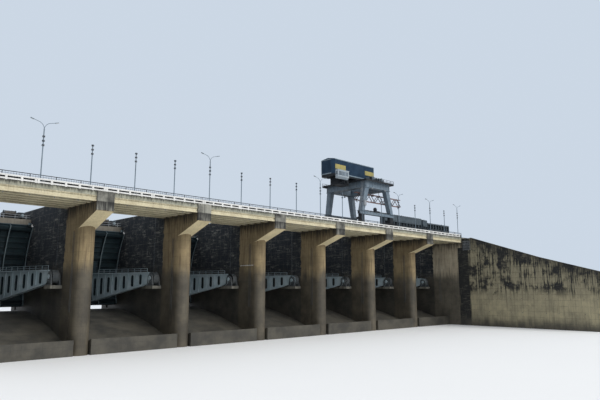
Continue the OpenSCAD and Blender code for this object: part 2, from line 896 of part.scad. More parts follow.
// Hoist unit that stands out downstream of the house and carries the rope drums.
module hoist_drums() {
  floor_z = frame_z + frame_h;
  left = rope_places[0] - 120;
  right = rope_places[1] + 60;
  color(crane_steel) crane_site() {
    for (x = [left, right])
      translate([x, hoist_front, frame_z]) cube([30, house_y - hoist_front, 150]);
    for (x = rope_places)
      translate([x, drum_y, floor_z + 20]) rotate([0, 90, 0])
        cylinder(r = rope_drum_r, h = 60, center = true);
    translate([left + 30, drum_y, floor_z + 20]) rotate([0, 90, 0])
      cylinder(r = 15, h = right - left - 30);
  }
}

beam_z = 4315;
beam_x = -870;
chord = 16;
lace = 9;
lattice_cells = 10;

module fixed_rope_falls() {
  color(rail_steel) crane_site() for (x = rope_places)
    translate([x - rope_gap / 2, rope_y, beam_z + beam_h + 30])
      cylinder(r = rope_r, h = frame_z + frame_h + 20 - beam_z - beam_h - 30);
}

module beam_rope_falls() {
  color(rail_steel) crane_site() for (x = rope_places)
    translate([x + rope_gap / 2, rope_y, beam_z + beam_h])
      cylinder(r = rope_r, h = frame_z + frame_h + 20 - beam_z - beam_h);
}

module bar_between(a, b, t) {
  d = b - a;
  translate(a) rotate([0, 90 - atan2(d[2], d[0]), 0])
    translate([-t / 2, -t / 2, -t / 2]) cube([t, t, norm([d[0], d[2]]) + t]);
}

module lattice_side() {
  cell = beam_len / lattice_cells;
  for (i = [0 : lattice_cells - 1]) {
    left = i * cell;
    up = i % 2 == 0;
    bar_between([left, 0, up ? 0 : beam_h - chord], [left + cell, 0, up ? beam_h - chord : 0], lace);
  }
}

module lifting_beam() {
  half = beam_w / 2;
  color(lattice_steel) crane_site() translate([beam_x, rope_y, beam_z]) {
    for (y = [-half, half - chord], z = [0, beam_h - chord])
      translate([0, y, z]) cube([beam_len, chord, chord]);
    for (y = [-half + chord / 2, half - chord / 2])
      translate([0, y, chord / 2]) lattice_side();
    for (i = [0 : 2 : lattice_cells], z = [0, beam_h - chord])
      translate([i * beam_len / lattice_cells - lace / 2 + (i == 0 ? lace : 0)
        - (i == lattice_cells ? lace : 0), -half, z]) cube([lace, beam_w, chord]);
    for (x = rope_places)
      translate([x - beam_x - 40, -half, beam_h - chord]) cube([80, beam_w, chord]);
  }
}

pier(0);  // pier_0
pier(1);  // pier_1
pier(2);  // pier_2
pier(3);  // pier_3
pier(4);  // pier_4
pier(5);  // pier_5
pier(6);  // pier_6
abutment();
training_wall();
spillway_weir();
bridge_girders();
road_slab();
road_railing();
collector_rail();
lamp_posts();
crane_rails();
service_deck();
service_railing();
gate_hoists();
trunnion_ledges();
trunnion_brackets();
stored_stoplogs();
gate_skin(0);  // gate_0_skin
gate_skin(1);  // gate_1_skin
gate_skin(2);  // gate_2_skin
gate_skin(3);  // gate_3_skin
gate_skin(4);  // gate_4_skin
gate_skin(5);  // gate_5_skin
gate_skin(6);  // gate_6_skin
gate_arms(0);  // gate_0_arms
gate_arms(1);  // gate_1_arms
gate_arms(2);  // gate_2_arms
gate_arms(3);  // gate_3_arms
gate_arms(4);  // gate_4_arms
gate_arms(5);  // gate_5_arms
gate_arms(6);  // gate_6_arms
crane_bogies();
crane_legs();
crane_girders();
crane_platform();
trolley_frame();
machine_house();
operator_cabin();
hoist_drums();
fixed_rope_falls();
lifting_beam();
beam_rope_falls();
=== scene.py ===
"""Finish and fittings of a gated dam spillway with a gantry crane, a scale model at 1:10.

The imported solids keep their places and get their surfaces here. The fittings that are too fine for
them, such as ladders, bolts, seals, cladding and hoist gear, are added as joined meshes that ride on
the same bodies. Every length is in metres of the model: X along the dam, Y upstream, Z up. The names
of sizes end in _h for a height, _w for a width, _d for a depth, _t for a thickness and _r for a
radius, and a class explains the fields whose names don't say enough.
"""

import json
import logging
import math
from dataclasses import dataclass, field
from enum import Enum
from typing import Iterable, Sequence

import bpy
from mathutils import Matrix, Vector


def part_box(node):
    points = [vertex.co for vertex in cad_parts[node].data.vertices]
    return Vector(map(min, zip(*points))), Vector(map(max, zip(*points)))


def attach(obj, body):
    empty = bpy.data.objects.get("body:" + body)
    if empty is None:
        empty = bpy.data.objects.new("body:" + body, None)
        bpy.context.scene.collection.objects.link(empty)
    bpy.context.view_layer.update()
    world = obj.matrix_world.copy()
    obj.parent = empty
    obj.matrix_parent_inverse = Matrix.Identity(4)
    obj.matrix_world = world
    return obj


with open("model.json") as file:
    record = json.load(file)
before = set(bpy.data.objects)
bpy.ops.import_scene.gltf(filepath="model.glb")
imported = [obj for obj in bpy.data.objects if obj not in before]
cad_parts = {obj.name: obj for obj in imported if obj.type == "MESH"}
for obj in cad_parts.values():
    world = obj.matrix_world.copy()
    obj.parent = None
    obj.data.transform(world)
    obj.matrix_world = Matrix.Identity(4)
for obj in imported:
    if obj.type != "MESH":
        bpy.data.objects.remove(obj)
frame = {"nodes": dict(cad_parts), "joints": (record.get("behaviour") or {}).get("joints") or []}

log = logging.getLogger("spillway")

Colour = tuple[float, float, float]
Spot = Sequence[float]
Socket = bpy.types.NodeSocket
Sockets = dict[str, Socket]
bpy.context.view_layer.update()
UP = Vector((0.0, 0.0, 1.0))
ALONG = Vector((1.0, 0.0, 0.0))
UPSTREAM = Vector((0.0, 1.0, 0.0))
BOTH = (-1, 1)


def spread(start: float, end: float, count: int) -> list[float]:
    """Return count evenly spaced values from start to end."""
    return [start + (end - start) * i / (count - 1) for i in range(count)]


def steps(start: float, end: float, step: float) -> list[float]:
    """Return values from start to end, evenly spaced by about step."""
    return spread(start, end, max(2, round((end - start) / step) + 1))


@dataclass
class Site:
    """Main places of the model, read from the frame.

    Attributes:
        seat_drop: height of the road above the seats of the bridge girders.
        bridge_out: how far the bridge stands out downstream of the noses.
        wall_slope: rise of the training wall's top along Y.
        wall_head: distance downstream of the noses where that slope starts.
        piers: lowest and highest corner of each pier.
        nose_y: Y of the downstream noses.
        wall_level: height of the wall's sloping top, taken on to Y 0.
        faces: X of the pier faces at the left and right of each bay.
    """

    bays: int = 7
    pier_len: float = 4.4
    kerb_h: float = 0.015
    slab_t: float = 0.08
    seat_drop: float = 0.2
    bridge_out: float = 0.694
    wall_slope: float = 0.31
    wall_head: float = 1.1
    piers: list = field(init=False)
    nose_y: float = field(init=False)
    deck_z: float = field(init=False)
    wall_level: float = field(init=False)
    faces: list = field(init=False)

    def __post_init__(self) -> None:
        """Read the piers, the road, the wall and the pier faces from the frame."""
        self.piers = [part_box(f"pier_{k}") for k in range(self.bays)]
        self.nose_y = self.piers[0][1].y - self.pier_len
        self.deck_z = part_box("road_slab")[1].z - self.kerb_h
        head = self.nose_y - self.wall_head
        self.wall_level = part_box("training_wall")[1].z - self.wall_slope * head
        rights = [high.x for low, high in self.piers]
        lefts = [low.x for low, high in self.piers[1:]] + [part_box("abutment")[0].x]
        self.faces = list(zip(rights, lefts))

    def centre(self, k: int) -> float:
        """Return the X of the middle of pier k."""
        low, high = self.piers[k]
        return (low.x + high.x) / 2

    def axis(self, k: int) -> Vector:
        """Return a point on gate k's hinge axis."""
        return Vector(next(j["pos_m"] for j in frame["joints"] if j["name"] == f"gate_{k}_hinge"))

    def at(self, x: float, y: float, z: float) -> Vector:
        """Return the point x along the dam from the first pier and y upstream of the noses."""
        return Vector((self.centre(0) + x, self.nose_y + y, z))


# Shader building

class Graph:
    """Adds and links nodes in one node tree."""

    def __init__(self, tree: bpy.types.NodeTree) -> None:
        """Keep the tree that the nodes go into."""
        self.tree = tree

    def node(self, kind: str, **settings: object) -> bpy.types.Node:
        """Add a shader node.

        Args:
            kind: the node's class name without its ShaderNode prefix.
            settings: properties to set on the node.

        Returns:
            The new node.
        """
        made = self.tree.nodes.new("ShaderNode" + kind)
        for key, value in settings.items():
            setattr(made, key, value)
        return made

    def feed(self, socket: Socket, value: object) -> None:
        """Link value into socket if it is a socket, or else set it as the socket's own value."""
        if isinstance(value, bpy.types.NodeSocket):
            self.tree.links.new(value, socket)
        elif isinstance(value, tuple) and socket.type == "RGBA":
            socket.default_value = (*value, 1.0)
        else:
            socket.default_value = value

    def math(self, operation: str, a: object, b: object = 0.0) -> Socket:
        """Return the result of a Math node on two values or sockets."""
        made = self.node("Math", operation=operation)
        self.feed(made.inputs[0], a)
        self.feed(made.inputs[1], b)
        return made.outputs[0]

    def plus(self, a: object, b: object) -> Socket:
        """Return a plus b."""
        return self.math("ADD", a, b)

    def minus(self, a: object, b: object) -> Socket:
        """Return a minus b."""
        return self.math("SUBTRACT", a, b)

    def times(self, a: object, b: object) -> Socket:
        """Return a times b."""
        return self.math("MULTIPLY", a, b)

    def over(self, a: object, b: object) -> Socket:
        """Return a divided by b."""
        return self.math("DIVIDE", a, b)

    def larger(self, a: object, b: object) -> Socket:
        """Return the larger of a and b."""
        return self.math("MAXIMUM", a, b)

    def without(self, mask: Socket) -> Socket:
        """Return 1 minus a mask."""
        return self.minus(1.0, mask)

    def swing(self, noise: Socket, size: float) -> Socket:
        """Return noise from 0 to 1 as a value that swings about zero, size from end to end."""
        return self.times(self.minus(noise, 0.5), size)

    def length(self, a: object, b: object) -> Socket:
        """Return the length of the hypotenuse over a and b."""
        return self.math("SQRT", self.plus(self.math("POWER", a, 2.0), self.math("POWER", b, 2.0)))

    def mix(self, factor: object, a: object, b: object) -> Socket:
        """Return colour a turned towards colour b by factor."""
        made = self.node("Mix", data_type="RGBA")
        self.feed(made.inputs[0], factor)
        self.feed(made.inputs[6], a)
        self.feed(made.inputs[7], b)
        return made.outputs[2]

    def between(self, value: object, low: object, high: object) -> Socket:
        """Return 0 below low and 1 above high, with a smooth step between them."""
        made = self.node("MapRange", interpolation_type="SMOOTHSTEP")
        for socket, given in zip(made.inputs, (value, low, high)):
            self.feed(socket, given)
        return made.outputs[0]

    def noise(self, place: Socket, scale: object, detail: float = 3.0, rough: float = 0.55) -> Socket:
        """Return smooth noise from 0 to 1 at place.

        Args:
            place: the point's coordinates.
            scale: cells per metre, as a number or socket.
            detail: octaves.
            rough: share of each finer octave.
        """
        made = self.node("TexNoise")
        self.feed(made.inputs["Vector"], place)
        self.feed(made.inputs["Scale"], scale)
        made.inputs["Detail"].default_value = detail
        made.inputs["Roughness"].default_value = rough
        return made.outputs[0]

    def place(self) -> Socket:
        """Return the point in the piece's own coordinates, which are the model's at rest."""
        return self.node("TexCoord").outputs["Object"]

    def split(self, vector: Socket) -> tuple[Socket, Socket, Socket]:
        """Return the three parts of a vector."""
        made = self.node("SeparateXYZ")
        self.feed(made.inputs[0], vector)
        return made.outputs[0], made.outputs[1], made.outputs[2]

    def join(self, x: object, y: object, z: object) -> Socket:
        """Return a vector made of three values."""
        made = self.node("CombineXYZ")
        for socket, given in zip(made.inputs, (x, y, z)):
            self.feed(socket, given)
        return made.outputs[0]

    def show(self, factor: Socket, first: Socket, second: Socket, output: str) -> None:
        """Send the blend of two shaders to the tree's output node.

        Args:
            factor: share of the second shader.
            first: the first shader.
            second: the second shader.
            output: the type of the output node.
        """
        blend = self.node("MixShader")
        for socket, given in zip(blend.inputs, (factor, first, second)):
            self.feed(socket, given)
        end = next(node for node in self.tree.nodes if node.type == output)
        self.feed(end.inputs["Surface"], blend.outputs[0])

    def relief(self, height: Socket, distance: float, strength: float) -> Socket:
        """Return a normal bumped by height over distance metres."""
        made = self.node("Bump")
        made.inputs["Strength"].default_value = strength
        made.inputs["Distance"].default_value = distance
        self.feed(made.inputs["Height"], height)
        return made.outputs["Normal"]


class Effect(Enum):
    """The shared surface effects, each one shader node group."""

    GRAIN = "grain"
    JOINTS = "formwork_joints"
    STREAKS = "rain_streaks"
    DRIPS = "drips_below_an_edge"
    WATERLINE = "waterline"
    GROWTH = "black_growth_upstream"
    WEAR = "worn_edges"
    RUST = "rust_patches"


class EffectShop:
    """Builds each shared effect once and places it in materials."""

    def __init__(self) -> None:
        """Start with no group built."""
        self.groups: dict[Effect, bpy.types.NodeTree] = {}
        self.makers = {
            Effect.GRAIN: (self._grain, {"Scale": 60.0}),
            Effect.JOINTS: (self._joints, {"Lift": 0.2, "Board": 0.2, "Line": 0.006}),
            Effect.STREAKS: (self._streaks, {"Width": 0.03, "Length": 0.9}),
            Effect.DRIPS: (self._drips, {"Level": 3.0, "Slope": 0.0, "Reach": 0.3, "Width": 0.02}),
            Effect.WATERLINE: (self._waterline, {"Level": 1.9, "Soft": 0.15}),
            Effect.GROWTH: (self._growth, {"Start": 1.7}),
            Effect.WEAR: (self._wear, {"Radius": 0.004}),
            Effect.RUST: (self._rust, {"Amount": 0.3, "Scale": 8.0}),
        }

    def put(self, graph: Graph, effect: Effect, **values: float) -> Sockets:
        """Place an effect in a material.

        Args:
            graph: the material's node tree.
            effect: which effect.
            values: the group's inputs for this material.

        Returns:
            The group's outputs by name.
        """
        if effect not in self.groups:
            self.groups[effect] = self._group(effect)
        made = graph.node("Group", node_tree=self.groups[effect])
        for key, value in values.items():
            made.inputs[key].default_value = value
        return {socket.name: socket for socket in made.outputs}

    def _group(self, effect: Effect) -> bpy.types.NodeTree:
        """Build the node group of an effect, with its named inputs and outputs."""
        maker, inputs = self.makers[effect]
        tree = bpy.data.node_groups.new(effect.value, "ShaderNodeTree")
        for label, value in inputs.items():
            made = tree.interface.new_socket(name=label, in_out="INPUT", socket_type="NodeSocketFloat")
            made.default_value = value
        graph = Graph(tree)
        outputs = maker(graph, {s.name: s for s in tree.nodes.new("NodeGroupInput").outputs if s.name})
        for label in outputs:
            tree.interface.new_socket(name=label, in_out="OUTPUT", socket_type="NodeSocketFloat")
        end = tree.nodes.new("NodeGroupOutput")
        for label, socket in outputs.items():
            graph.feed(end.inputs[label], socket)
        return tree

    @staticmethod
    def _grain(graph: Graph, given: Sockets) -> Sockets:
        """Cloudy tone and fine grain of a cast or painted face."""
        place = graph.place()
        wide = graph.noise(place, graph.times(given["Scale"], 0.035), 5.0, 0.6)
        return {"Cloud": graph.between(wide, 0.32, 0.68),
                "Fine": graph.noise(place, given["Scale"], 4.0, 0.7)}

    @staticmethod
    def _joints(graph: Graph, given: Sockets) -> Sockets:
        """Lift and board lines of formwork, a random tone for each panel, and the tie holes."""
        place = graph.place()
        x, y, z = graph.split(place)
        wander = graph.swing(graph.noise(place, 4.0), 0.05)
        level = graph.plus(graph.plus(x, y), 60.0)
        panels, lines, offsets = [], [], []
        for value, size in ((z, given["Lift"]), (level, given["Board"])):
            count = graph.plus(graph.over(value, size), wander)
            off = graph.math("ABSOLUTE", graph.minus(graph.math("FRACT", count), 0.5))
            width = graph.over(given["Line"], size)
            lines.append(graph.between(off, graph.minus(0.5, width), 0.5))
            offsets.append(graph.times(off, size))
            panels.append(graph.math("FLOOR", count))
        patchy = graph.between(graph.noise(place, 9.0), 0.3, 0.6)
        tone = graph.node("TexWhiteNoise", noise_dimensions="2D")
        graph.feed(tone.inputs["Vector"], graph.join(*panels, 0.0))
        return {
            "Lines": graph.times(graph.larger(lines[0], graph.times(lines[1], 0.7)), patchy),
            "Panel": tone.outputs["Value"],
            "Ties": graph.without(graph.between(graph.length(*offsets), 0.003, 0.005)),
        }

    @staticmethod
    def _runs(graph: Graph, width: Socket, height: Socket) -> Socket:
        """Return coordinates that are drawn out along Z."""
        x, y = graph.split(graph.place())[:2]
        return graph.join(graph.over(x, width), graph.over(y, width), height)

    @staticmethod
    def _streaks(graph: Graph, given: Sockets) -> Sockets:
        """Long upright streaks left by rain."""
        z = graph.split(graph.place())[2]
        place = EffectShop._runs(graph, given["Width"], graph.over(z, given["Length"]))
        return {"Streaks": graph.between(graph.noise(place, 1.0, 3.0, 0.6), 0.46, 0.72)}

    @staticmethod
    def _drips(graph: Graph, given: Sockets) -> Sockets:
        """Dark runs that start at an edge, level or sloping along Y, and fade below it."""
        y, z = graph.split(graph.place())[1:]
        edge = graph.plus(given["Level"], graph.times(given["Slope"], y))
        depth = graph.over(graph.minus(edge, z), given["Reach"])
        place = EffectShop._runs(graph, given["Width"], graph.times(z, 1.5))
        runs = graph.plus(graph.noise(place, 1.0, 4.0, 0.65), 0.12)
        fall = graph.minus(runs, graph.times(depth, 0.5))
        return {"Drips": graph.times(graph.between(fall, 0.3, 0.62), graph.between(depth, -0.02, 0.02))}

    @staticmethod
    def _waterline(graph: Graph, given: Sockets) -> Sockets:
        """Wet concrete below a level, with an uneven upper limit."""
        x, y, z = graph.split(graph.place())
        tall = graph.join(graph.times(x, 5.0), graph.times(y, 5.0), z)
        height = graph.plus(z, graph.swing(graph.noise(tall, 1.0), 0.6))
        low = graph.minus(given["Level"], given["Soft"])
        high = graph.plus(given["Level"], given["Soft"])
        return {"Wet": graph.without(graph.between(height, low, high))}

    @staticmethod
    def _growth(graph: Graph, given: Sockets) -> Sockets:
        """Black growth upstream of a line, with lime along the lifts showing through it."""
        place = graph.place()
        y, z = graph.split(place)[1:]
        spot = graph.plus(y, graph.swing(graph.noise(place, 6.0), 0.16))
        flat = graph.join(0.0, graph.times(y, 3.0), graph.times(z, 26.0))
        tall = graph.join(0.0, graph.times(y, 22.0), graph.times(z, 4.0))
        bars = graph.larger(graph.between(graph.noise(flat, 1.0, 4.0, 0.7), 0.5, 0.64),
                            graph.between(graph.noise(tall, 1.0, 4.0, 0.7), 0.52, 0.68))
        blotch = graph.between(graph.noise(place, 3.2, 4.0, 0.65), 0.36, 0.62)
        return {"Growth": graph.between(spot, graph.minus(given["Start"], 0.03), given["Start"]),
                "Lime": graph.times(bars, blotch)}

    @staticmethod
    def _wear(graph: Graph, given: Sockets) -> Sockets:
        """Edges where paint is worn, found from a rounded normal."""
        round_edge = graph.node("Bevel", samples=4)
        graph.feed(round_edge.inputs["Radius"], given["Radius"])
        same = graph.node("VectorMath", operation="DOT_PRODUCT")
        graph.feed(same.inputs[0], round_edge.outputs[0])
        graph.feed(same.inputs[1], graph.node("NewGeometry").outputs["Normal"])
        turned = graph.without(same.outputs["Value"])
        patchy = graph.between(graph.noise(graph.place(), 35.0, 4.0, 0.7), 0.35, 0.65)
        return {"Edge": graph.times(graph.between(turned, 0.01, 0.12), patchy)}

    @staticmethod
    def _rust(graph: Graph, given: Sockets) -> Sockets:
        """Rust patches with runs below them."""
        x, y, z = graph.split(graph.place())
        tall = graph.join(x, y, graph.times(z, 0.35))
        start = graph.minus(0.8, graph.times(given["Amount"], 0.4))
        spots = graph.noise(tall, given["Scale"], 6.0, 0.7)
        return {"Rust": graph.between(spots, start, graph.plus(start, 0.1))}


def new_material(name: str, colour: Colour) -> tuple[bpy.types.Material, Graph, bpy.types.Node]:
    """Make a material with a Principled shader.

    Args:
        name: the material's name.
        colour: its colour in the viewport.

    Returns:
        The material, its graph and its shader node.
    """
    material = bpy.data.materials.new(name)
    material.use_nodes = True
    material.diffuse_color = (*colour, 1.0)
    shader = material.node_tree.nodes["Principled BSDF"]
    return material, Graph(material.node_tree), shader


class Coat:
    """One material whose colour is built up layer by layer.

    Every coat has grain and rain streaks, each at the scale that its finish asks for.
    """

    def __init__(self, name: str, colour: Colour, effects: EffectShop, grain: float, run: Spot) -> None:
        """Start a material in one colour.

        Args:
            name: the material's name.
            colour: its colour in the viewport.
            effects: the shared effects.
            grain: scale of the grain.
            run: width and length of the rain streaks.
        """
        self.material, self.graph, self.shader = new_material(name, colour)
        self.effects = effects
        self.y, self.z = self.graph.split(self.graph.place())[1:]
        made = self.put(Effect.GRAIN, Scale=grain)
        self.cloud, self.fine = made["Cloud"], made["Fine"]
        self.runs = self.put(Effect.STREAKS, Width=run[0], Length=run[1])["Streaks"]
        self.tone: object = colour

    def put(self, effect: Effect, **values: float) -> Sockets:
        """Place an effect with these inputs and return its outputs by name."""
        return self.effects.put(self.graph, effect, **values)

    def up(self) -> Socket:
        """Return how far the face looks up, from -1 to 1."""
        return self.graph.split(self.graph.node("NewGeometry").outputs["Normal"])[2]

    def layer(self, mask: Socket, colour: object, strength: float = 1.0) -> None:
        """Turn the tone towards a colour where mask shows, by strength."""
        self.tone = self.graph.mix(self.graph.times(mask, strength), self.tone, colour)

    def done(self, roughness: object, relief: Socket | None = None) -> bpy.types.Material:
        """Wire the tone, the roughness and the relief to the shader and return the material."""
        wires = {"Base Color": self.tone, "Roughness": roughness, "Normal": relief}
        for label, value in wires.items():
            if value is not None:
                self.graph.feed(self.shader.inputs[label], value)
        return self.material


def scaled(colour: Colour, factor: float) -> Colour:
    """Return a colour made lighter or darker by factor."""
    return tuple(value * factor for value in colour)


# Finishes

CONCRETE_ROUGHNESS = 0.88
SOOT = (0.03, 0.03, 0.028)
WORN_GREY = (0.34, 0.335, 0.29)
DRIP_BLACK = (0.012, 0.012, 0.012)
GROWTH_BLACK = (0.012, 0.017, 0.024)
LIME = (0.27, 0.265, 0.235)
# Mottled black of the crust, also used for a band of painted shade on the training wall.
CRUST_AND_SHADE_BLACK = (0.014, 0.015, 0.015)
CRUST_AND_SHADE_GREY = (0.13, 0.12, 0.095)
WET_DARK = (0.040, 0.037, 0.030)
WET_LIGHT = (0.088, 0.079, 0.060)
SEAM_BLACK = (0.02, 0.02, 0.02)
GRIME = (0.035, 0.031, 0.026)
RUST_BROWN = (0.07, 0.024, 0.010)
RUST_ORANGE = (0.19, 0.07, 0.03)
KERB_RUNS = (0.06, 0.065, 0.05)
KERB_BLACK = (0.02, 0.02, 0.018)
ROAD_DUST = (0.10, 0.095, 0.085)
GLASS_DUST = (0.12, 0.12, 0.11)


@dataclass(frozen=True)
class ConcreteFinish:
    """Formed concrete with lifts, stains and wet or grown-over parts.

    Attributes:
        light: the cleanest concrete.
        dark: the dull concrete between.
        lift: height of one pour.
        board: width of one formwork panel.
        joints: how strongly the joints show.
        streaks: how strongly the rain streaks show.
        drips: how strongly the runs below the edge show.
        edge: height of that edge.
        slope: rise of that edge along Y.
        reach: how far the runs go down.
        waterline: height below which the face is wet, or None.
        growth_from: distance upstream where the black growth starts, or None.
        painted_underlight: the colour of faces that look down, painted light as if they were lit from below,
            or None.
        grey_tip: Y and height before and above which the face is grey and sooty, or None.
        black_above: height above which the face is black and mottled, or None.
        painted_shade_band: first and last Y of an upright band of painted shade, in the crust's mottled
            black, or None.
    """

    name: str
    light: Colour
    dark: Colour
    stain: Colour = (0.045, 0.04, 0.033)
    lift: float = 0.2
    board: float = 0.2
    joints: float = 0.5
    streaks: float = 0.5
    drips: float = 0.0
    edge: float = 3.3
    slope: float = 0.0
    reach: float = 0.5
    waterline: float | None = None
    growth_from: float | None = None
    painted_underlight: Colour | None = None
    grey_tip: tuple[float, float] | None = None
    black_above: float | None = None
    painted_shade_band: tuple[float, float] | None = None

    def build(self, effects: EffectShop) -> bpy.types.Material:
        """Return the material."""
        coat = Coat(self.name, self.light, effects, 70.0, (0.035, 0.9))
        graph = coat.graph
        joints = coat.put(Effect.JOINTS, Lift=self.lift, Board=self.board, Line=0.007)
        dents = graph.larger(joints["Lines"], joints["Ties"])
        coat.tone = graph.mix(coat.cloud, self.dark, self.light)
        coat.layer(joints["Panel"], self.dark, 0.3)
        coat.layer(coat.runs, self.stain, self.streaks)
        coat.layer(dents, self.stain, self.joints)
        self._sooty_tip(coat)
        if self.drips:
            below = coat.put(Effect.DRIPS, Level=self.edge, Slope=self.slope, Reach=self.reach, Width=0.03)
            coat.layer(below["Drips"], DRIP_BLACK, self.drips)
        self._grown_over(coat, joints)
        self._black_top(coat, joints["Lines"])
        self._lay_painted_shade(coat)
        # Painted light: faces that look down turn to a brighter colour, as if they were lit from below.
        if self.painted_underlight is not None:
            underlight_colour = graph.mix(coat.cloud, scaled(self.painted_underlight, 0.78), self.painted_underlight)
            underlight_colour = graph.mix(graph.times(coat.runs, 0.2), underlight_colour, self.stain)
            coat.layer(graph.between(graph.times(coat.up(), -1.0), 0.3, 0.6), underlight_colour)
        roughness = self._soaked(coat, joints["Lines"])
        coat.layer(coat.fine, (0.0, 0.0, 0.0), 0.35)
        height = graph.minus(coat.fine, graph.times(dents, 1.6))
        return coat.done(roughness, graph.relief(height, 0.003, 0.55))

    def _sooty_tip(self, coat: Coat) -> None:
        """Lay soot on the downstream end of a corbel."""
        if self.grey_tip is None:
            return
        front, foot = self.grey_tip
        soft = 0.004
        graph = coat.graph
        mask = graph.times(graph.between(coat.z, foot - soft, foot + soft),
                           graph.math("LESS_THAN", coat.y, front))
        coat.layer(mask, graph.mix(graph.larger(coat.runs, coat.cloud), WORN_GREY, SOOT))

    def _grown_over(self, coat: Coat, joints: Sockets) -> None:
        """Lay black growth upstream of its line, with lime along the joints."""
        if self.growth_from is None:
            return
        graph = coat.graph
        grown = coat.put(Effect.GROWTH, Start=self.growth_from)
        panel = graph.plus(graph.times(joints["Panel"], 0.75), 0.3)
        lime = graph.larger(graph.times(grown["Lime"], panel), graph.times(joints["Lines"], 0.5))
        upright = graph.without(graph.times(graph.between(coat.up(), 0.4, 0.7), 0.8))
        coat.layer(grown["Growth"], graph.mix(graph.times(lime, upright), GROWTH_BLACK, LIME))

    def _crust_and_shade(self, coat: Coat) -> Socket:
        """Return a mottled black: the colour of the crust, and of the band of painted shade."""
        mottle = coat.put(Effect.GROWTH)["Lime"]
        return coat.graph.mix(coat.graph.times(mottle, 0.7), CRUST_AND_SHADE_BLACK, CRUST_AND_SHADE_GREY)

    def _black_top(self, coat: Coat, lines: Socket) -> None:
        """Lay crust above a level."""
        if self.black_above is None:
            return
        graph = coat.graph
        low = coat.put(Effect.WATERLINE, Level=self.black_above, Soft=0.2)["Wet"]
        patchy = graph.larger(graph.between(graph.plus(coat.cloud, coat.runs), 0.3, 0.9), lines)
        coat.layer(graph.times(graph.without(low), patchy), self._crust_and_shade(coat))

    def _lay_painted_shade(self, coat: Coat) -> None:
        """Lay painted shade in an upright band, in the crust's mottled black."""
        if self.painted_shade_band is None:
            return
        graph = coat.graph
        spot = graph.plus(coat.y, graph.swing(coat.runs, 0.12))
        first, last = (graph.between(spot, y - 0.03, y + 0.03) for y in self.painted_shade_band)
        coat.layer(graph.times(first, graph.without(last)), self._crust_and_shade(coat))

    def _soaked(self, coat: Coat, lines: Socket) -> object:
        """Darken what is wet below the waterline and return the roughness."""
        if self.waterline is None:
            return CONCRETE_ROUGHNESS
        graph = coat.graph
        wet = coat.put(Effect.WATERLINE, Level=self.waterline, Soft=0.24)["Wet"]
        soaked = graph.mix(coat.cloud, WET_DARK, WET_LIGHT)
        coat.layer(wet, graph.mix(graph.times(lines, 0.4), soaked, SEAM_BLACK), 0.88)
        return graph.minus(CONCRETE_ROUGHNESS, graph.times(wet, 0.25))


@dataclass(frozen=True)
class SteelFinish:
    """Painted or bare steel with worn edges, dirt and rust.

    Attributes:
        faded: the paint's colour where it has dulled.
        rust: how much rust shows, from 0 to 1.
        wear: how strongly worn edges show.
        worn: the colour under the worn paint.
        dirt: how strongly rain dirt shows.
        metallic: 1 for bare metal, 0 for paint.
        seam: spacing of the plate seams.
        gloss: how much light the paint's surface throws back.
    """

    name: str
    paint: Colour
    faded: Colour
    rust: float = 0.3
    wear: float = 0.5
    worn: Colour = (0.16, 0.1, 0.07)
    dirt: float = 0.35
    roughness: float = 0.5
    metallic: float = 0.0
    seam: float = 0.6
    gloss: float = 0.3

    def build(self, effects: EffectShop) -> bpy.types.Material:
        """Return the material."""
        coat = Coat(self.name, self.paint, effects, 120.0, (0.02, 0.35))
        graph = coat.graph
        seams = coat.put(Effect.JOINTS, Lift=self.seam, Board=self.seam, Line=0.004)["Lines"]
        edge = coat.put(Effect.WEAR, Radius=0.004)["Edge"]
        rust = coat.put(Effect.RUST, Amount=self.rust, Scale=9.0)["Rust"]
        coat.tone = graph.mix(coat.cloud, self.paint, self.faded)
        coat.layer(seams, SEAM_BLACK, 0.35)
        coat.layer(coat.runs, GRIME, self.dirt)
        coat.layer(edge, self.worn, self.wear)
        if self.rust:
            coat.layer(rust, graph.mix(coat.fine, RUST_BROWN, RUST_ORANGE), 0.85)
        rough = graph.plus(graph.times(coat.fine, 0.16), self.roughness - 0.08)
        coat.shader.inputs["Metallic"].default_value = self.metallic
        coat.shader.inputs["Specular IOR Level"].default_value = self.gloss
        height = graph.minus(coat.fine, graph.times(seams, 2.0))
        return coat.done(graph.plus(rough, graph.times(rust, 0.3)), graph.relief(height, 0.0008, 0.4))


@dataclass(frozen=True)
class RoadFinish:
    """Asphalt on the upper faces of the slab, stained concrete on its edges.

    Attributes:
        edge: the colour of the concrete edge.
        top: height above which a level face is a kerb.
    """

    name: str
    asphalt: Colour
    edge: Colour
    top: float

    def build(self, effects: EffectShop) -> bpy.types.Material:
        """Return the material."""
        coat = Coat(self.name, self.edge, effects, 150.0, (0.03, 0.3))
        graph = coat.graph
        below = coat.put(Effect.DRIPS, Level=self.top, Reach=0.11, Width=0.025)["Drips"]
        low = graph.without(graph.between(coat.z, self.top - 0.012, self.top - 0.006))
        coat.tone = graph.mix(coat.cloud, self.edge, scaled(self.edge, 0.62))
        coat.layer(coat.runs, KERB_RUNS, 0.5)
        coat.layer(below, KERB_BLACK, 0.85)
        road = graph.mix(coat.fine, self.asphalt, scaled(self.asphalt, 1.9))
        road = graph.mix(graph.times(coat.cloud, 0.4), road, ROAD_DUST)
        coat.layer(graph.times(graph.between(coat.up(), 0.6, 0.9), low), road)
        return coat.done(0.9, graph.relief(coat.fine, 0.002, 0.5))


@dataclass(frozen=True)
class GlassFinish:
    """Dusty window glass whose colour is the dark room behind it, painted on as shade.

    Attributes:
        tint: the colour seen through the glass, painted on the glass itself; on the windows it is painted
            shade.
    """

    name: str
    tint: Colour

    def build(self, effects: EffectShop) -> bpy.types.Material:
        """Return the material."""
        coat = Coat(self.name, self.tint, effects, 40.0, (0.03, 0.2))
        coat.tone = coat.graph.mix(coat.cloud, self.tint, scaled(self.tint, 2.2))
        coat.layer(coat.runs, GLASS_DUST, 0.4)
        coat.shader.inputs["Coat Weight"].default_value = 0.6
        return coat.done(coat.graph.times(coat.runs, 0.35))


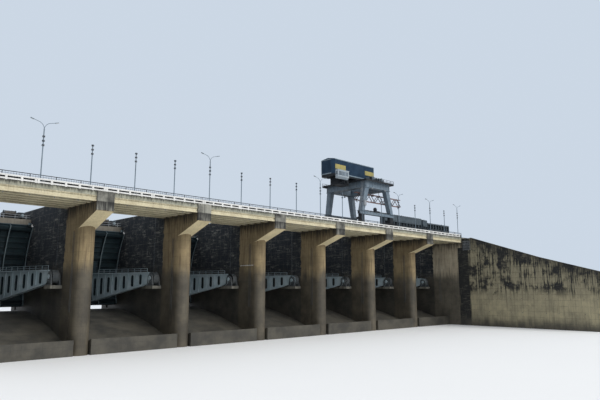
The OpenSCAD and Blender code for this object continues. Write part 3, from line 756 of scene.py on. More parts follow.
class FinishShop:
    """Every material of the model, built once and handed out by name."""

    def __init__(self, site: Site) -> None:
        """Build the materials for the places of a site."""
        seat_z = site.deck_z - site.seat_drop
        nose_y = site.nose_y
        finishes = [*self._concretes(site, seat_z, nose_y), *self._steels(),
                    RoadFinish("road", (0.035, 0.035, 0.037), (0.34, 0.34, 0.27), site.deck_z + site.kerb_h),
                    # The two window glasses carry the dark rooms behind them as painted shade.
                    GlassFinish("window_glass", (0.012, 0.018, 0.024)),
                    GlassFinish("cabin_glass", (0.07, 0.09, 0.11)),
                    GlassFinish("lamp_glass", (0.35, 0.36, 0.36))]
        effects = EffectShop()
        self.made = {finish.name: finish.build(effects) for finish in finishes}

    def __getitem__(self, name: str) -> bpy.types.Material:
        """Return the material of that name."""
        return self.made[name]

    @staticmethod
    def _concretes(site: Site, seat_z: float, nose_y: float) -> list[ConcreteFinish]:
        """Return the concrete finishes.

        Args:
            site: main places of the model.
            seat_z: height of the seats of the bridge girders.
            nose_y: Y of the downstream noses of the piers.
        """
        return [
            ConcreteFinish("pier_concrete", (0.37, 0.285, 0.155), (0.23, 0.175, 0.098),
                           stain=(0.075, 0.042, 0.024), joints=0.4, streaks=0.62, drips=0.9, edge=seat_z,
                           waterline=1.86, growth_from=nose_y + 0.85, painted_underlight=(0.92, 0.78, 0.48),
                           grey_tip=(nose_y - 0.69, seat_z - 0.19)),
            ConcreteFinish("girder_concrete", (0.76, 0.7, 0.5), (0.56, 0.5, 0.34),
                           stain=(0.2, 0.13, 0.07), joints=0.1, streaks=0.25, lift=4.0, board=2.4,
                           drips=0.4, edge=site.deck_z - site.slab_t, reach=0.09,
                           painted_underlight=(0.95, 0.84, 0.56)),
            ConcreteFinish("abutment_concrete", (0.56, 0.49, 0.36), (0.4, 0.345, 0.25), joints=0.45,
                           drips=0.8, edge=seat_z, waterline=1.95, growth_from=nose_y + 0.65,
                           painted_underlight=(0.7, 0.6, 0.38)),
            ConcreteFinish("wall_concrete", (0.42, 0.375, 0.24), (0.27, 0.245, 0.165),
                           stain=(0.07, 0.065, 0.05), joints=0.8, streaks=0.45, drips=0.8,
                           edge=site.wall_level, slope=site.wall_slope, reach=1.0, waterline=0.24,
                           # The band between these two Y values is painted shade, in the crust's mottled
                           # black.
                           black_above=1.25, painted_shade_band=(nose_y - 1.03, nose_y - 0.515)),
            ConcreteFinish("weir_concrete", (0.15, 0.145, 0.125), (0.075, 0.072, 0.063), joints=0.35,
                           streaks=0.6, waterline=0.75),
            ConcreteFinish("deck_concrete", (0.26, 0.24, 0.2), (0.15, 0.14, 0.12), joints=0.3,
                           streaks=0.3, lift=4.0, board=0.7),
            ConcreteFinish("ledge_concrete", (0.3, 0.29, 0.25), (0.17, 0.165, 0.14), joints=0.2,
                           lift=4.0, board=2.0),
            ConcreteFinish("white_railing", (0.86, 0.86, 0.84), (0.72, 0.72, 0.7),
                           stain=(0.34, 0.33, 0.3), joints=0.06, streaks=0.28, lift=4.0, board=1.6),
        ]

    @staticmethod
    def _steels() -> list[SteelFinish]:
        """Return the finishes of steel, glaze and rubber."""
        return [
            SteelFinish("gate_paint", (0.013, 0.026, 0.034), (0.024, 0.042, 0.05), rust=0.25,
                        wear=0.45, roughness=0.42, seam=0.42),
            SteelFinish("arm_paint", (0.3, 0.39, 0.43), (0.4, 0.48, 0.52), rust=0.2, wear=0.3, dirt=0.25),
            SteelFinish("arm_edge", (0.17, 0.22, 0.24), (0.13, 0.17, 0.19), rust=0.25, wear=0.3),
            SteelFinish("bracket_paint", (0.06, 0.072, 0.08), (0.1, 0.11, 0.115), rust=0.4),
            SteelFinish("white_paint", (0.7, 0.71, 0.7), (0.6, 0.6, 0.58), rust=0.15, wear=0.2),
            SteelFinish("brown_glaze", (0.06, 0.028, 0.018), (0.1, 0.05, 0.03), rust=0.0, wear=0.0,
                        roughness=0.25),
            SteelFinish("crane_paint", (0.115, 0.16, 0.205), (0.165, 0.21, 0.25), rust=0.18,
                        wear=0.35, seam=0.45),
            SteelFinish("crane_dark", (0.012, 0.016, 0.022), (0.026, 0.03, 0.034), rust=0.35, wear=0.3,
                        dirt=0.5, gloss=0.12),
            SteelFinish("house_paint", (0.012, 0.032, 0.062), (0.022, 0.048, 0.085), rust=0.08, wear=0.15,
                        dirt=0.2, roughness=0.55, gloss=0.12),
            SteelFinish("house_trim", (0.16, 0.22, 0.27), (0.22, 0.28, 0.32), rust=0.1, wear=0.2),
            SteelFinish("cabin_paint", (0.3, 0.36, 0.41), (0.38, 0.43, 0.47), rust=0.08, wear=0.2),
            SteelFinish("yellow_paint", (0.36, 0.3, 0.09), (0.3, 0.26, 0.1), rust=0.12, wear=0.2),
            SteelFinish("lattice_paint", (0.13, 0.058, 0.045), (0.2, 0.11, 0.09), rust=0.5, wear=0.2),
            SteelFinish("galvanised", (0.2, 0.225, 0.25), (0.27, 0.29, 0.31), rust=0.12, wear=0.2,
                        roughness=0.42),
            SteelFinish("rail_head", (0.3, 0.28, 0.26), (0.2, 0.17, 0.15), rust=0.5, wear=0.6,
                        worn=(0.6, 0.58, 0.55), roughness=0.35, metallic=0.8),
            SteelFinish("wire_rope", (0.07, 0.065, 0.06), (0.12, 0.11, 0.1), wear=0.0,
                        roughness=0.4, metallic=0.6, seam=0.05),
            SteelFinish("black_rubber", (0.012, 0.012, 0.012), (0.03, 0.03, 0.03), rust=0.0, wear=0.0,
                        roughness=0.75),
            SteelFinish("stoplog_paint", (0.014, 0.022, 0.03), (0.03, 0.042, 0.052), rust=0.25, wear=0.4,
                        dirt=0.5, worn=(0.12, 0.14, 0.15)),
            SteelFinish("stoplog_frame", (0.045, 0.065, 0.08), (0.075, 0.1, 0.12), rust=0.25, wear=0.3),
        ]


class NodeFinishes:
    """Puts the materials on the solids of the frame."""

    BY_NODE = {
        "abutment": "abutment_concrete", "training_wall": "wall_concrete",
        "spillway_weir": "weir_concrete", "bridge_girders": "girder_concrete", "road_slab": "road",
        "road_railing": "white_railing", "collector_rail": "crane_dark", "lamp_posts": "crane_paint",
        "crane_rails": "rail_head", "service_deck": "deck_concrete", "service_railing": "galvanised",
        "gate_hoists": "crane_dark", "trunnion_ledges": "ledge_concrete",
        "trunnion_brackets": "bracket_paint", "stored_stoplogs": "stoplog_frame",
        "crane_bogies": "crane_dark", "crane_legs": "crane_paint", "crane_girders": "crane_paint",
        # The trolley frame takes the dark crane paint, which also stands for the shade below the machine
        # house: painted shade.
        "crane_platform": "crane_dark", "trolley_frame": "crane_dark", "machine_house": "house_paint",
        "operator_cabin": "cabin_paint", "hoist_drums": "house_trim", "fixed_rope_falls": "wire_rope",
        "lifting_beam": "lattice_paint", "beam_rope_falls": "wire_rope", "pier": "pier_concrete",
        "gate_skin": "gate_paint", "gate_arms": "arm_paint",
    }

    def dress(self, finishes: FinishShop) -> None:
        """Give every solid of the frame its material, by its name without a number."""
        for name, node in frame["nodes"].items():
            wanted = self.BY_NODE["_".join(part for part in name.split("_") if not part.isdigit())]
            node.data.materials.clear()
            node.data.materials.append(finishes[wanted])
            log.info("%s finished with %s", name, wanted)


# Mesh building

class Workpiece:
    """One joined mesh put together from plates, bars, rods and turned parts."""

    def __init__(self, name: str) -> None:
        """Start an empty piece with that name."""
        self.name = name
        self.points: list[Vector] = []
        self.faces: list[tuple[int, ...]] = []

    def add(self, points: Iterable[Vector], faces: Iterable[Sequence[int]]) -> None:
        """Append a closed shell whose faces count from its own first point."""
        start = len(self.points)
        self.points.extend(points)
        self.faces.extend(tuple(start + i for i in face) for face in faces)

    def prism(self, outline: Sequence[Spot], place: Matrix, depth: float) -> None:
        """Extrude an outline drawn in a place's X and Y by depth, half to each side.

        Args:
            outline: corners, anticlockwise.
            place: the outline's plane.
            depth: the plate's thickness.
        """
        count = len(outline)
        ends = [place @ Vector((p[0], p[1], z)) for z in (-depth / 2, depth / 2) for p in outline]
        sides = [(i, (i + 1) % count, count + (i + 1) % count, count + i) for i in range(count)]
        self.add(ends, [range(count - 1, -1, -1), range(count, 2 * count), *sides])

    def block(self, corner: Spot, opposite: Spot, turn: Matrix | None = None) -> None:
        """Add a box between two opposite corners, moved by turn if given."""
        (x0, x1), (y0, y1), (z0, z1) = (sorted(pair) for pair in zip(corner, opposite))
        corners = [Vector((x, y, z)) for z in (z0, z1) for x, y in ((x0, y0), (x1, y0), (x1, y1), (x0, y1))]
        if turn is not None:
            corners = [turn @ corner for corner in corners]
        self.add(corners, [(3, 2, 1, 0), (4, 5, 6, 7), (0, 1, 5, 4), (1, 2, 6, 5), (2, 3, 7, 6),
                           (3, 0, 4, 7)])

    def slab(self, foot: Spot, size: Spot) -> None:
        """Add a box of a size along X, Y and Z that stands on the middle of its underside."""
        x, y, z = foot
        w, d = size[0] / 2, size[1] / 2
        self.block((x - w, y - d, z), (x + w, y + d, z + size[2]))

    def rim(self, low: Vector, high: Vector, out: float, level: float, height: float) -> None:
        """Add four strips along the sides of an upright box.

        Args:
            low: lowest corner of the box.
            high: highest corner of the box.
            out: how far the strips stand out, or less than 0 for strips inside.
            level: height of their lower edge.
            height: their height.
        """
        grow = max(out, 0.0)
        for y, away in ((low.y, -out), (high.y, out)):
            self.block((low.x - grow, y, level), (high.x + grow, y + away, level + height))
        for x, away in ((low.x, -out), (high.x, out)):
            self.block((x, low.y, level), (x + away, high.y, level + height))

    def rod(self, start: Spot, end: Spot, radius: float, sides: int = 10, tip: float | None = None) -> None:
        """Add a round bar.

        Args:
            start: centre of its first end.
            end: centre of its last end.
            radius: radius at the first end.
            sides: number of sides.
            tip: radius at the last end, if it tapers.
        """
        a, b = Vector(start), Vector(end)
        last = radius if tip is None else tip
        self.turned([(radius, 0.0), (last, (b - a).length)], standing(a, b - a), sides)

    def turned(self, profile: Sequence[Spot], place: Matrix, sides: int = 16) -> None:
        """Add a body turned about a place's Z axis.

        Args:
            profile: radius and height of each ring, from the bottom up.
            place: where its axis stands.
            sides: number of sides.
        """
        angles = [2 * math.pi * i / sides for i in range(sides)]
        points = [place @ Vector((r * math.cos(a), r * math.sin(a), h)) for r, h in profile for a in angles]
        last = (len(profile) - 1) * sides
        faces: list[Sequence[int]] = [range(sides - 1, -1, -1), range(last, last + sides)]
        for base in range(0, last, sides):
            faces += [(base + i, base + (i + 1) % sides, base + sides + (i + 1) % sides, base + sides + i)
                      for i in range(sides)]
        self.add(points, faces)

    def bar(self, start: Spot, end: Spot, width: float, depth: float, side: Vector = UP) -> None:
        """Add a straight square bar whose depth lies along side.

        Args:
            start: centre of its first end.
            end: centre of its last end.
            width: size across side.
            depth: size along side.
            side: a direction that isn't the bar's own.
        """
        a, b = Vector(start), Vector(end)
        axis = (b - a).normalized()
        across = side.cross(axis).normalized()
        place = Matrix.Translation((a + b) / 2) @ turned_to(across, axis.cross(across), axis)
        w, d = width / 2, depth / 2
        self.prism([(-w, -d), (w, -d), (w, d), (-w, d)], place, (b - a).length)

    def path(self, spots: Sequence[Spot], radius: float, sides: int = 6) -> None:
        """Add round bars along a row of points."""
        for a, b in zip(spots, spots[1:]):
            self.rod(a, b, radius, sides)

    def arc(self, axis: Vector, across: Spot, radii: Spot, sweep: Spot, cells: int = 1) -> None:
        """Add a plate bent about an axis along X, as on a radial gate.

        Args:
            axis: a point on the axis.
            across: X of both ends.
            radii: inner and outer radius.
            sweep: first and last angle in degrees, up from upstream.
            cells: number of straight pieces.
        """
        x0, x1 = sorted(across)
        corners = ((radii[0], x0), (radii[0], x1), (radii[1], x1), (radii[1], x0))
        points = [Vector((x, axis.y, axis.z)) + ray(degrees) * r
                  for degrees in spread(sweep[0], sweep[1], cells + 1) for r, x in corners]
        faces: list[Sequence[int]] = [(0, 1, 2, 3), tuple(4 * cells + i for i in (3, 2, 1, 0))]
        for base in range(0, 4 * cells, 4):
            faces += [(base + i, base + 4 + i, base + 4 + (i + 1) % 4, base + (i + 1) % 4) for i in range(4)]
        self.add(points, faces)

    def bolts(self, spots: Iterable[Spot], normal: Vector, radius: float = 0.005,
              height: float = 0.004) -> None:
        """Add hexagon bolt heads standing along normal."""
        for spot in spots:
            self.rod(Vector(spot), Vector(spot) + normal * height, radius, 6)

    def finish(self, body: str, material: bpy.types.Material, slot: str, bevel: float = 0.0,
               smooth: bool = False) -> None:
        """Make the object and let it ride.

        Args:
            body: the CAD body it moves with.
            material: its material.
            slot: the record's material slot; not used.
            bevel: width of the broken edges, or 0 for sharp ones.
            smooth: whether round parts are shaded smooth.
        """
        mesh = bpy.data.meshes.new(self.name)
        mesh.from_pydata(self.points, [], self.faces)
        mesh.validate()
        mesh.materials.append(material)
        made = bpy.data.objects.new(self.name, mesh)
        bpy.context.scene.collection.objects.link(made)
        if smooth:
            mesh.shade_smooth()
            mesh.set_sharp_from_angle(angle=math.radians(38))
        if bevel:
            broken = made.modifiers.new("broken_edges", "BEVEL")
            broken.width = bevel
            broken.segments = 1
            broken.limit_method = "ANGLE"
            broken.angle_limit = math.radians(50)
        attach(made, body)
        log.info("%s: %d faces on %s", self.name, len(mesh.polygons), body)


def turned_to(x_axis: Vector, y_axis: Vector, z_axis: Vector) -> Matrix:
    """Return the turn that lays the three axes along those directions."""
    return Matrix((x_axis, y_axis, z_axis)).transposed().to_4x4()


def standing(foot: Spot, axis: Vector) -> Matrix:
    """Return the place at foot whose Z axis points along axis."""
    return Matrix.Translation(foot) @ axis.to_track_quat("Z", "Y").to_matrix().to_4x4()


def plane_at(origin: Spot, x_axis: Vector, y_axis: Vector) -> Matrix:
    """Return the place whose X and Y axes point along those directions."""
    across = x_axis.normalized()
    normal = across.cross(y_axis).normalized()
    return Matrix.Translation(origin) @ turned_to(across, normal.cross(across), normal)


def ray(degrees: float) -> Vector:
    """Return the direction at an angle up from upstream."""
    return Vector((0.0, math.cos(math.radians(degrees)), math.sin(math.radians(degrees))))


def ring(centre: Vector, axis: Vector, radius: float, count: int) -> list[Vector]:
    """Return count points on a circle about an axis."""
    turn = axis.to_track_quat("Z", "Y")
    angles = [2 * math.pi * i / count for i in range(count)]
    return [centre + turn @ Vector((radius * math.cos(a), radius * math.sin(a), 0.0)) for a in angles]


def half_ring(centre: Vector, first: Vector, second: Vector, count: int,
              turn: float = math.pi) -> list[Vector]:
    """Return count points from centre plus first, round by way of centre plus second.

    Args:
        centre: the ring's centre.
        first: from the centre to the first point.
        second: from the centre to the point a quarter turn on.
        count: number of points.
        turn: how far round they go, in radians.
    """
    return [centre + first * math.cos(a) + second * math.sin(a) for a in spread(0.0, turn, count)]


def ladder(work: Workpiece, foot: Vector, head: Vector, side: Vector, width: float, step: float) -> None:
    """Add a ladder with two stringers and round rungs.

    Args:
        work: the piece it belongs to.
        foot: middle of its lower end.
        head: middle of its upper end.
        side: direction from one stringer to the other.
        width: distance between the stringers.
        step: distance between rungs.
    """
    half = side * width / 2
    for shift in (-half, half):
        work.bar(foot + shift, head + shift, 0.006, 0.012, side.cross(head - foot))
    count = max(2, int((head - foot).length / step))
    for i in range(1, count):
        spot = foot.lerp(head, i / count)
        work.rod(spot - half, spot + half, 0.0025, 6)


# Sub-assemblies

@dataclass
class Fittings:
    """What the fittings of all sub-assemblies share.

    Attributes:
        site: main places of the model.
        finishes: the materials.
        body: the CAD body that the pieces move with.
        slot: the record's material slot of most pieces.
    """

    site: Site
    finishes: FinishShop
    body: str = "root"
    slot: str = "rail_steel"

    def fit(self, work: Workpiece, finish: str, slot: str = "", bevel: float = 0.0,
            smooth: bool = False) -> None:
        """Make a piece and let it ride.

        Args:
            work: the piece.
            finish: name of its material.
            slot: its slot, if it isn't that of most pieces.
            bevel: width of the broken edges, or 0 for sharp ones.
            smooth: whether round parts are shaded smooth.
        """
        work.finish(self.body, self.finishes[finish], slot or self.slot, bevel, smooth)


@dataclass
class DeckFittings(Fittings):
    """Fence bars, joint plates, rail clips, drains and pipes of the road bridge.

    Attributes:
        tick_step: spacing of the fence bars.
        clip_step: spacing of the rail clips.
        post_top: height of the uppermost insulator above the kerb.
        lamp_reach: distance of a lamp from its post, and its height.
        pipes: distance upstream of the noses and radius of each pipe below the slab.
    """

    tick_step: float = 0.05
    clip_step: float = 0.25
    post_step: float = 1.0
    post_count: int = 18
    post_top: float = 0.949
    lamp_posts: tuple[int, ...] = (1, 5, 9, 13, 15, 17)
    lamp_reach: Spot = (0.24, 1.282)
    lamp_tilt: float = 15.0
    pipes: tuple[Spot, ...] = ((-0.52, 0.022), (-0.46, 0.012))

    def build(self) -> None:
        """Add every piece."""
        self._fence()
        self._joint_plates()
        self._clips()
        self._pipes()
        self._posts()

    def _fence(self) -> None:
        """Fine bars above the cable board, and boxes on it."""
        low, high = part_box("collector_rail")
        bars = Workpiece("fence_bars")
        for x in steps(low.x + 0.01, high.x - 0.01, self.tick_step):
            bars.block((x - 0.0015, high.y - 0.009, low.z + 0.05),
                       (x + 0.0015, high.y - 0.005, high.z - 0.004))
        y, z = high.y - 0.006, low.z + 0.145
        bars.rod((low.x, y, z), (high.x, y, z), 0.003, 6)
        self.fit(bars, "crane_dark")
        boxes = Workpiece("cable_boxes")
        for i in range(self.post_count):
            x = self.site.centre(0) + 0.25 + i * self.post_step
            boxes.block((x - 0.03, low.y - 0.022, low.z + 0.03), (x + 0.03, low.y, low.z + 0.1))
            boxes.block((x - 0.024, low.y - 0.026, low.z + 0.036), (x + 0.024, low.y - 0.02, low.z + 0.094))
        self.fit(boxes, "galvanised", bevel=0.002)

    def _joint_plates(self) -> None:
        """Steel plates over the joints of the road, with their bolts."""
        low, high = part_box("crane_rails")
        first = self.site.nose_y - self.site.bridge_out + 0.115
        z = self.site.deck_z
        plates = Workpiece("joint_plates")
        for k in range(self.site.bays):
            x = self.site.centre(k)
            for y0, y1 in ((first, low.y - 0.01), (low.y + 0.025, high.y - 0.04)):
                plates.block((x - 0.03, y0, z), (x + 0.03, y1, z + 0.003))
                for side in (-0.022, 0.022):
                    spots = [(x + side, y, z + 0.003) for y in steps(y0 + 0.02, y1 - 0.02, 0.06)]
                    plates.bolts(spots, UP, 0.003, 0.002)
        self.fit(plates, "bracket_paint")

    def _clips(self) -> None:
        """Clips that hold the crane rails."""
        low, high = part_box("crane_rails")
        clips = Workpiece("rail_clips")
        for y in (low.y + 0.007, high.y - 0.007):
            for x in steps(low.x + 0.08, high.x - 0.08, self.clip_step):
                for side in BOTH:
                    clips.slab((x, y + side * 0.014, low.z), (0.024, 0.016, 0.006))
                    clips.bolts([(x, y + side * 0.016, low.z + 0.006)], UP, 0.004)
        self.fit(clips, "bracket_paint")

    def _pipes(self) -> None:
        """Drains through the slab and two pipes that hang below it in every bay."""
        under = self.site.deck_z - self.site.slab_t
        drain_y = self.site.nose_y - self.site.bridge_out + 0.085
        z = under - 0.045
        pipes = Workpiece("deck_pipes")
        for left, right in self.site.faces:
            for x in spread(left + 0.35, right - 0.35, 4):
                pipes.rod((x, drain_y, under - 0.15), (x, drain_y, under), 0.008, 8)
            for shift, r in self.pipes:
                y = self.site.nose_y + shift
                pipes.rod((left, y, z), (right, y, z), r)
                for x in spread(left + 0.2, right - 0.2, 5):
                    pipes.block((x - 0.006, y - r - 0.004, z - r - 0.004), (x + 0.006, y + r + 0.004, under))
        self.fit(pipes, "galvanised", smooth=True)

    def _posts(self) -> None:
        """Insulator sheds and foot plates of the posts, and the glasses of the lamps."""
        sheds = Workpiece("insulator_sheds")
        plates = Workpiece("post_plates")
        glasses = Workpiece("lamp_glasses")
        tilt = math.radians(self.lamp_tilt)
        reach, lift = self.lamp_reach
        for i in range(self.post_count):
            spot = self.site.at(0.18 + i * self.post_step, -0.64, self.site.deck_z + self.site.kerb_h)
            for drop in (0.0, 0.09, 0.18):
                for shed in range(3):
                    base = Matrix.Translation(spot + UP * (self.post_top - drop + 0.011 * shed))
                    sheds.turned([(0.014, 0.0), (0.029, 0.001), (0.016, 0.008)], base, 12)
            plates.slab(spot, (0.06, 0.044, 0.006))
            corners = [spot + Vector((x, y, 0.006)) for x in (-0.026, 0.026) for y in (-0.015, 0.015)]
            plates.bolts(corners, UP, 0.0035)
            for side in BOTH if i in self.lamp_posts else ():
                along = Vector((side * math.cos(tilt), 0.0, math.sin(tilt)))
                place = plane_at(spot + Vector((side * reach, 0.0, lift)), along, UPSTREAM)
                outline = [(-0.03, -0.011), (0.03, -0.011), (0.034, 0.0), (0.03, 0.011), (-0.03, 0.011)]
                glasses.prism(outline, place, 0.006)
        self.fit(sheds, "brown_glaze", smooth=True)
        self.fit(plates, "galvanised")
        self.fit(glasses, "lamp_glass")


@dataclass
class PierFittings(Fittings):
    """Slot linings, step irons, a conduit and the trunnion gear on the pier faces.

    Attributes:
        slot_y: distance upstream of the stoplog slot.
        nose_slot: distance upstream, width, foot and head of the narrow slot.
        irons_y: distance upstream of the step irons.
        hinge_h: height of the hinge axis above the ledge.
        conduit_x: X of the conduit from the first pier.
        conduit_y: first and last distance upstream of the conduit.
    """

    slot_y: float = 3.85
    slot_w: float = 0.1
    crest_z: float = 0.87
    nose_slot: Spot = (0.33, 0.045, 0.9, 2.66)
    irons_y: float = 1.25
    hinge_h: float = 0.193
    conduit_x: float = 7.302
    conduit_y: Spot = (0.2, 0.78)
    conduit_z: float = 2.056

    def build(self) -> None:
        """Add every piece."""
        self._linings()
        self._irons()
        self._conduit()
        self._trunnions()

    def _each_face(self) -> list[tuple[int, float, int]]:
        """Return bay, X and direction into the bay of each pier face."""
        return [(k, x, way) for k, pair in enumerate(self.site.faces) for x, way in zip(pair, (1, -1))]

    def _linings(self) -> None:
        """Steel edges of the stoplog slots and of the narrow slots near the noses."""
        linings = Workpiece("slot_linings")
        stoplog_slot = (self.slot_y, self.slot_w, self.crest_z, self.site.deck_z - 0.01)
        for _, x, way in self._each_face():
            proud = x + way * 0.004
            for y, w, z0, z1 in (stoplog_slot, self.nose_slot):
                for edge in (y - 0.012, y + w):
                    start = self.site.nose_y + edge
                    linings.block((x, start, z0), (proud, start + 0.012, z1))
                    spots = [(proud, start + 0.006, z) for z in steps(z0 + 0.05, z1 - 0.05, 0.2)]
                    linings.bolts(spots, ALONG * way, 0.003, 0.002)
        self.fit(linings, "bracket_paint")

    def _irons(self) -> None:
        """Step irons from the trunnion ledge to the top of the pier."""
        irons = Workpiece("step_irons")
        middle = self.site.nose_y + self.irons_y
        y0, y1 = middle - 0.022, middle + 0.022
        for k, x, way in self._each_face():
            out = x + way * 0.016
            foot = self.site.axis(k).z - self.hinge_h
            for z in steps(foot + 0.03, self.site.deck_z - 0.03, 0.03):
                irons.path([(x, y0, z), (out, y0, z), (out, y1, z), (x, y1, z)], 0.002, 5)
        self.fit(irons, "galvanised")

    def _conduit(self) -> None:
        """Pale conduit with clamps on the fourth pier."""
        conduit = Workpiece("pier_conduit")
        x = self.site.piers[3][0].x
        start, end = (self.site.at(self.conduit_x, y, self.conduit_z) for y in self.conduit_y)
        conduit.rod(start, end, 0.008, 8)
        for y in spread(start.y + 0.04, end.y - 0.04, 6):
            conduit.block((x - 0.019, y - 0.006, self.conduit_z - 0.012),
                          (x, y + 0.006, self.conduit_z + 0.012))
        self.fit(conduit, "white_paint", smooth=True)

    def _trunnions(self) -> None:
        """Foot plates, anchor bolts, pin caps and grease pipes of the gate hinges."""
        gear = Workpiece("trunnion_gear")
        caps = Workpiece("pin_caps")
        for k, face, way in self._each_face():
            axis = self.site.axis(k)
            floor = axis.z - self.hinge_h
            for x0, x1 in ((0.006, 0.055), (0.206, 0.246)):
                a, b = face + way * x0, face + way * x1
                gear.block((a, axis.y - 0.166, floor), (b, axis.y + 0.166, floor + 0.01))
                spots = [((a + b) / 2, axis.y + y, floor + 0.01) for y in (-0.158, 0.158)]
                gear.bolts(spots, UP, 0.006, 0.012)
            for lift in (0.008, 0.032):
                foot = (face + way * 0.224, axis.y, floor + lift)
                outline = [(-0.14, 0.0), (0.14, 0.0), (0.09, 0.05), (-0.09, 0.05)]
                gear.prism(outline, plane_at(foot, UPSTREAM, UP), 0.036)
            self._pin_cap(caps, axis, face, way)
        self.fit(gear, "bracket_paint", "arm_steel", bevel=0.002)
        self.fit(caps, "arm_paint", "arm_steel", smooth=True)

    def _pin_cap(self, caps: Workpiece, axis: Vector, face: float, way: int) -> None:
        """Add the cap, the bolts and the grease pipe of one hinge pin.

        Args:
            caps: the piece they belong to.
            axis: a point on the hinge axis.
            face: X of the pier face.
            way: direction into the bay.
        """
        out = ALONG * way
        end = Vector((face + way * 0.246, axis.y, axis.z))
        ear = Vector((face + way * 0.238, axis.y, axis.z))
        foot = Vector((face + way * 0.276, axis.y + 0.1, axis.z - self.hinge_h + 0.004))
        caps.turned([(0.056, 0.0), (0.056, 0.008), (0.048, 0.012), (0.02, 0.014)], standing(end, out), 20)
        caps.bolts(ring(end + out * 0.009, out, 0.044, 8), out, 0.0045)
        caps.bolts(ring(ear, out, 0.086, 10), out, 0.006)
        bend = end + out * 0.03
        caps.path([end + out * 0.014, bend, bend - UP * 0.12, foot], 0.003)


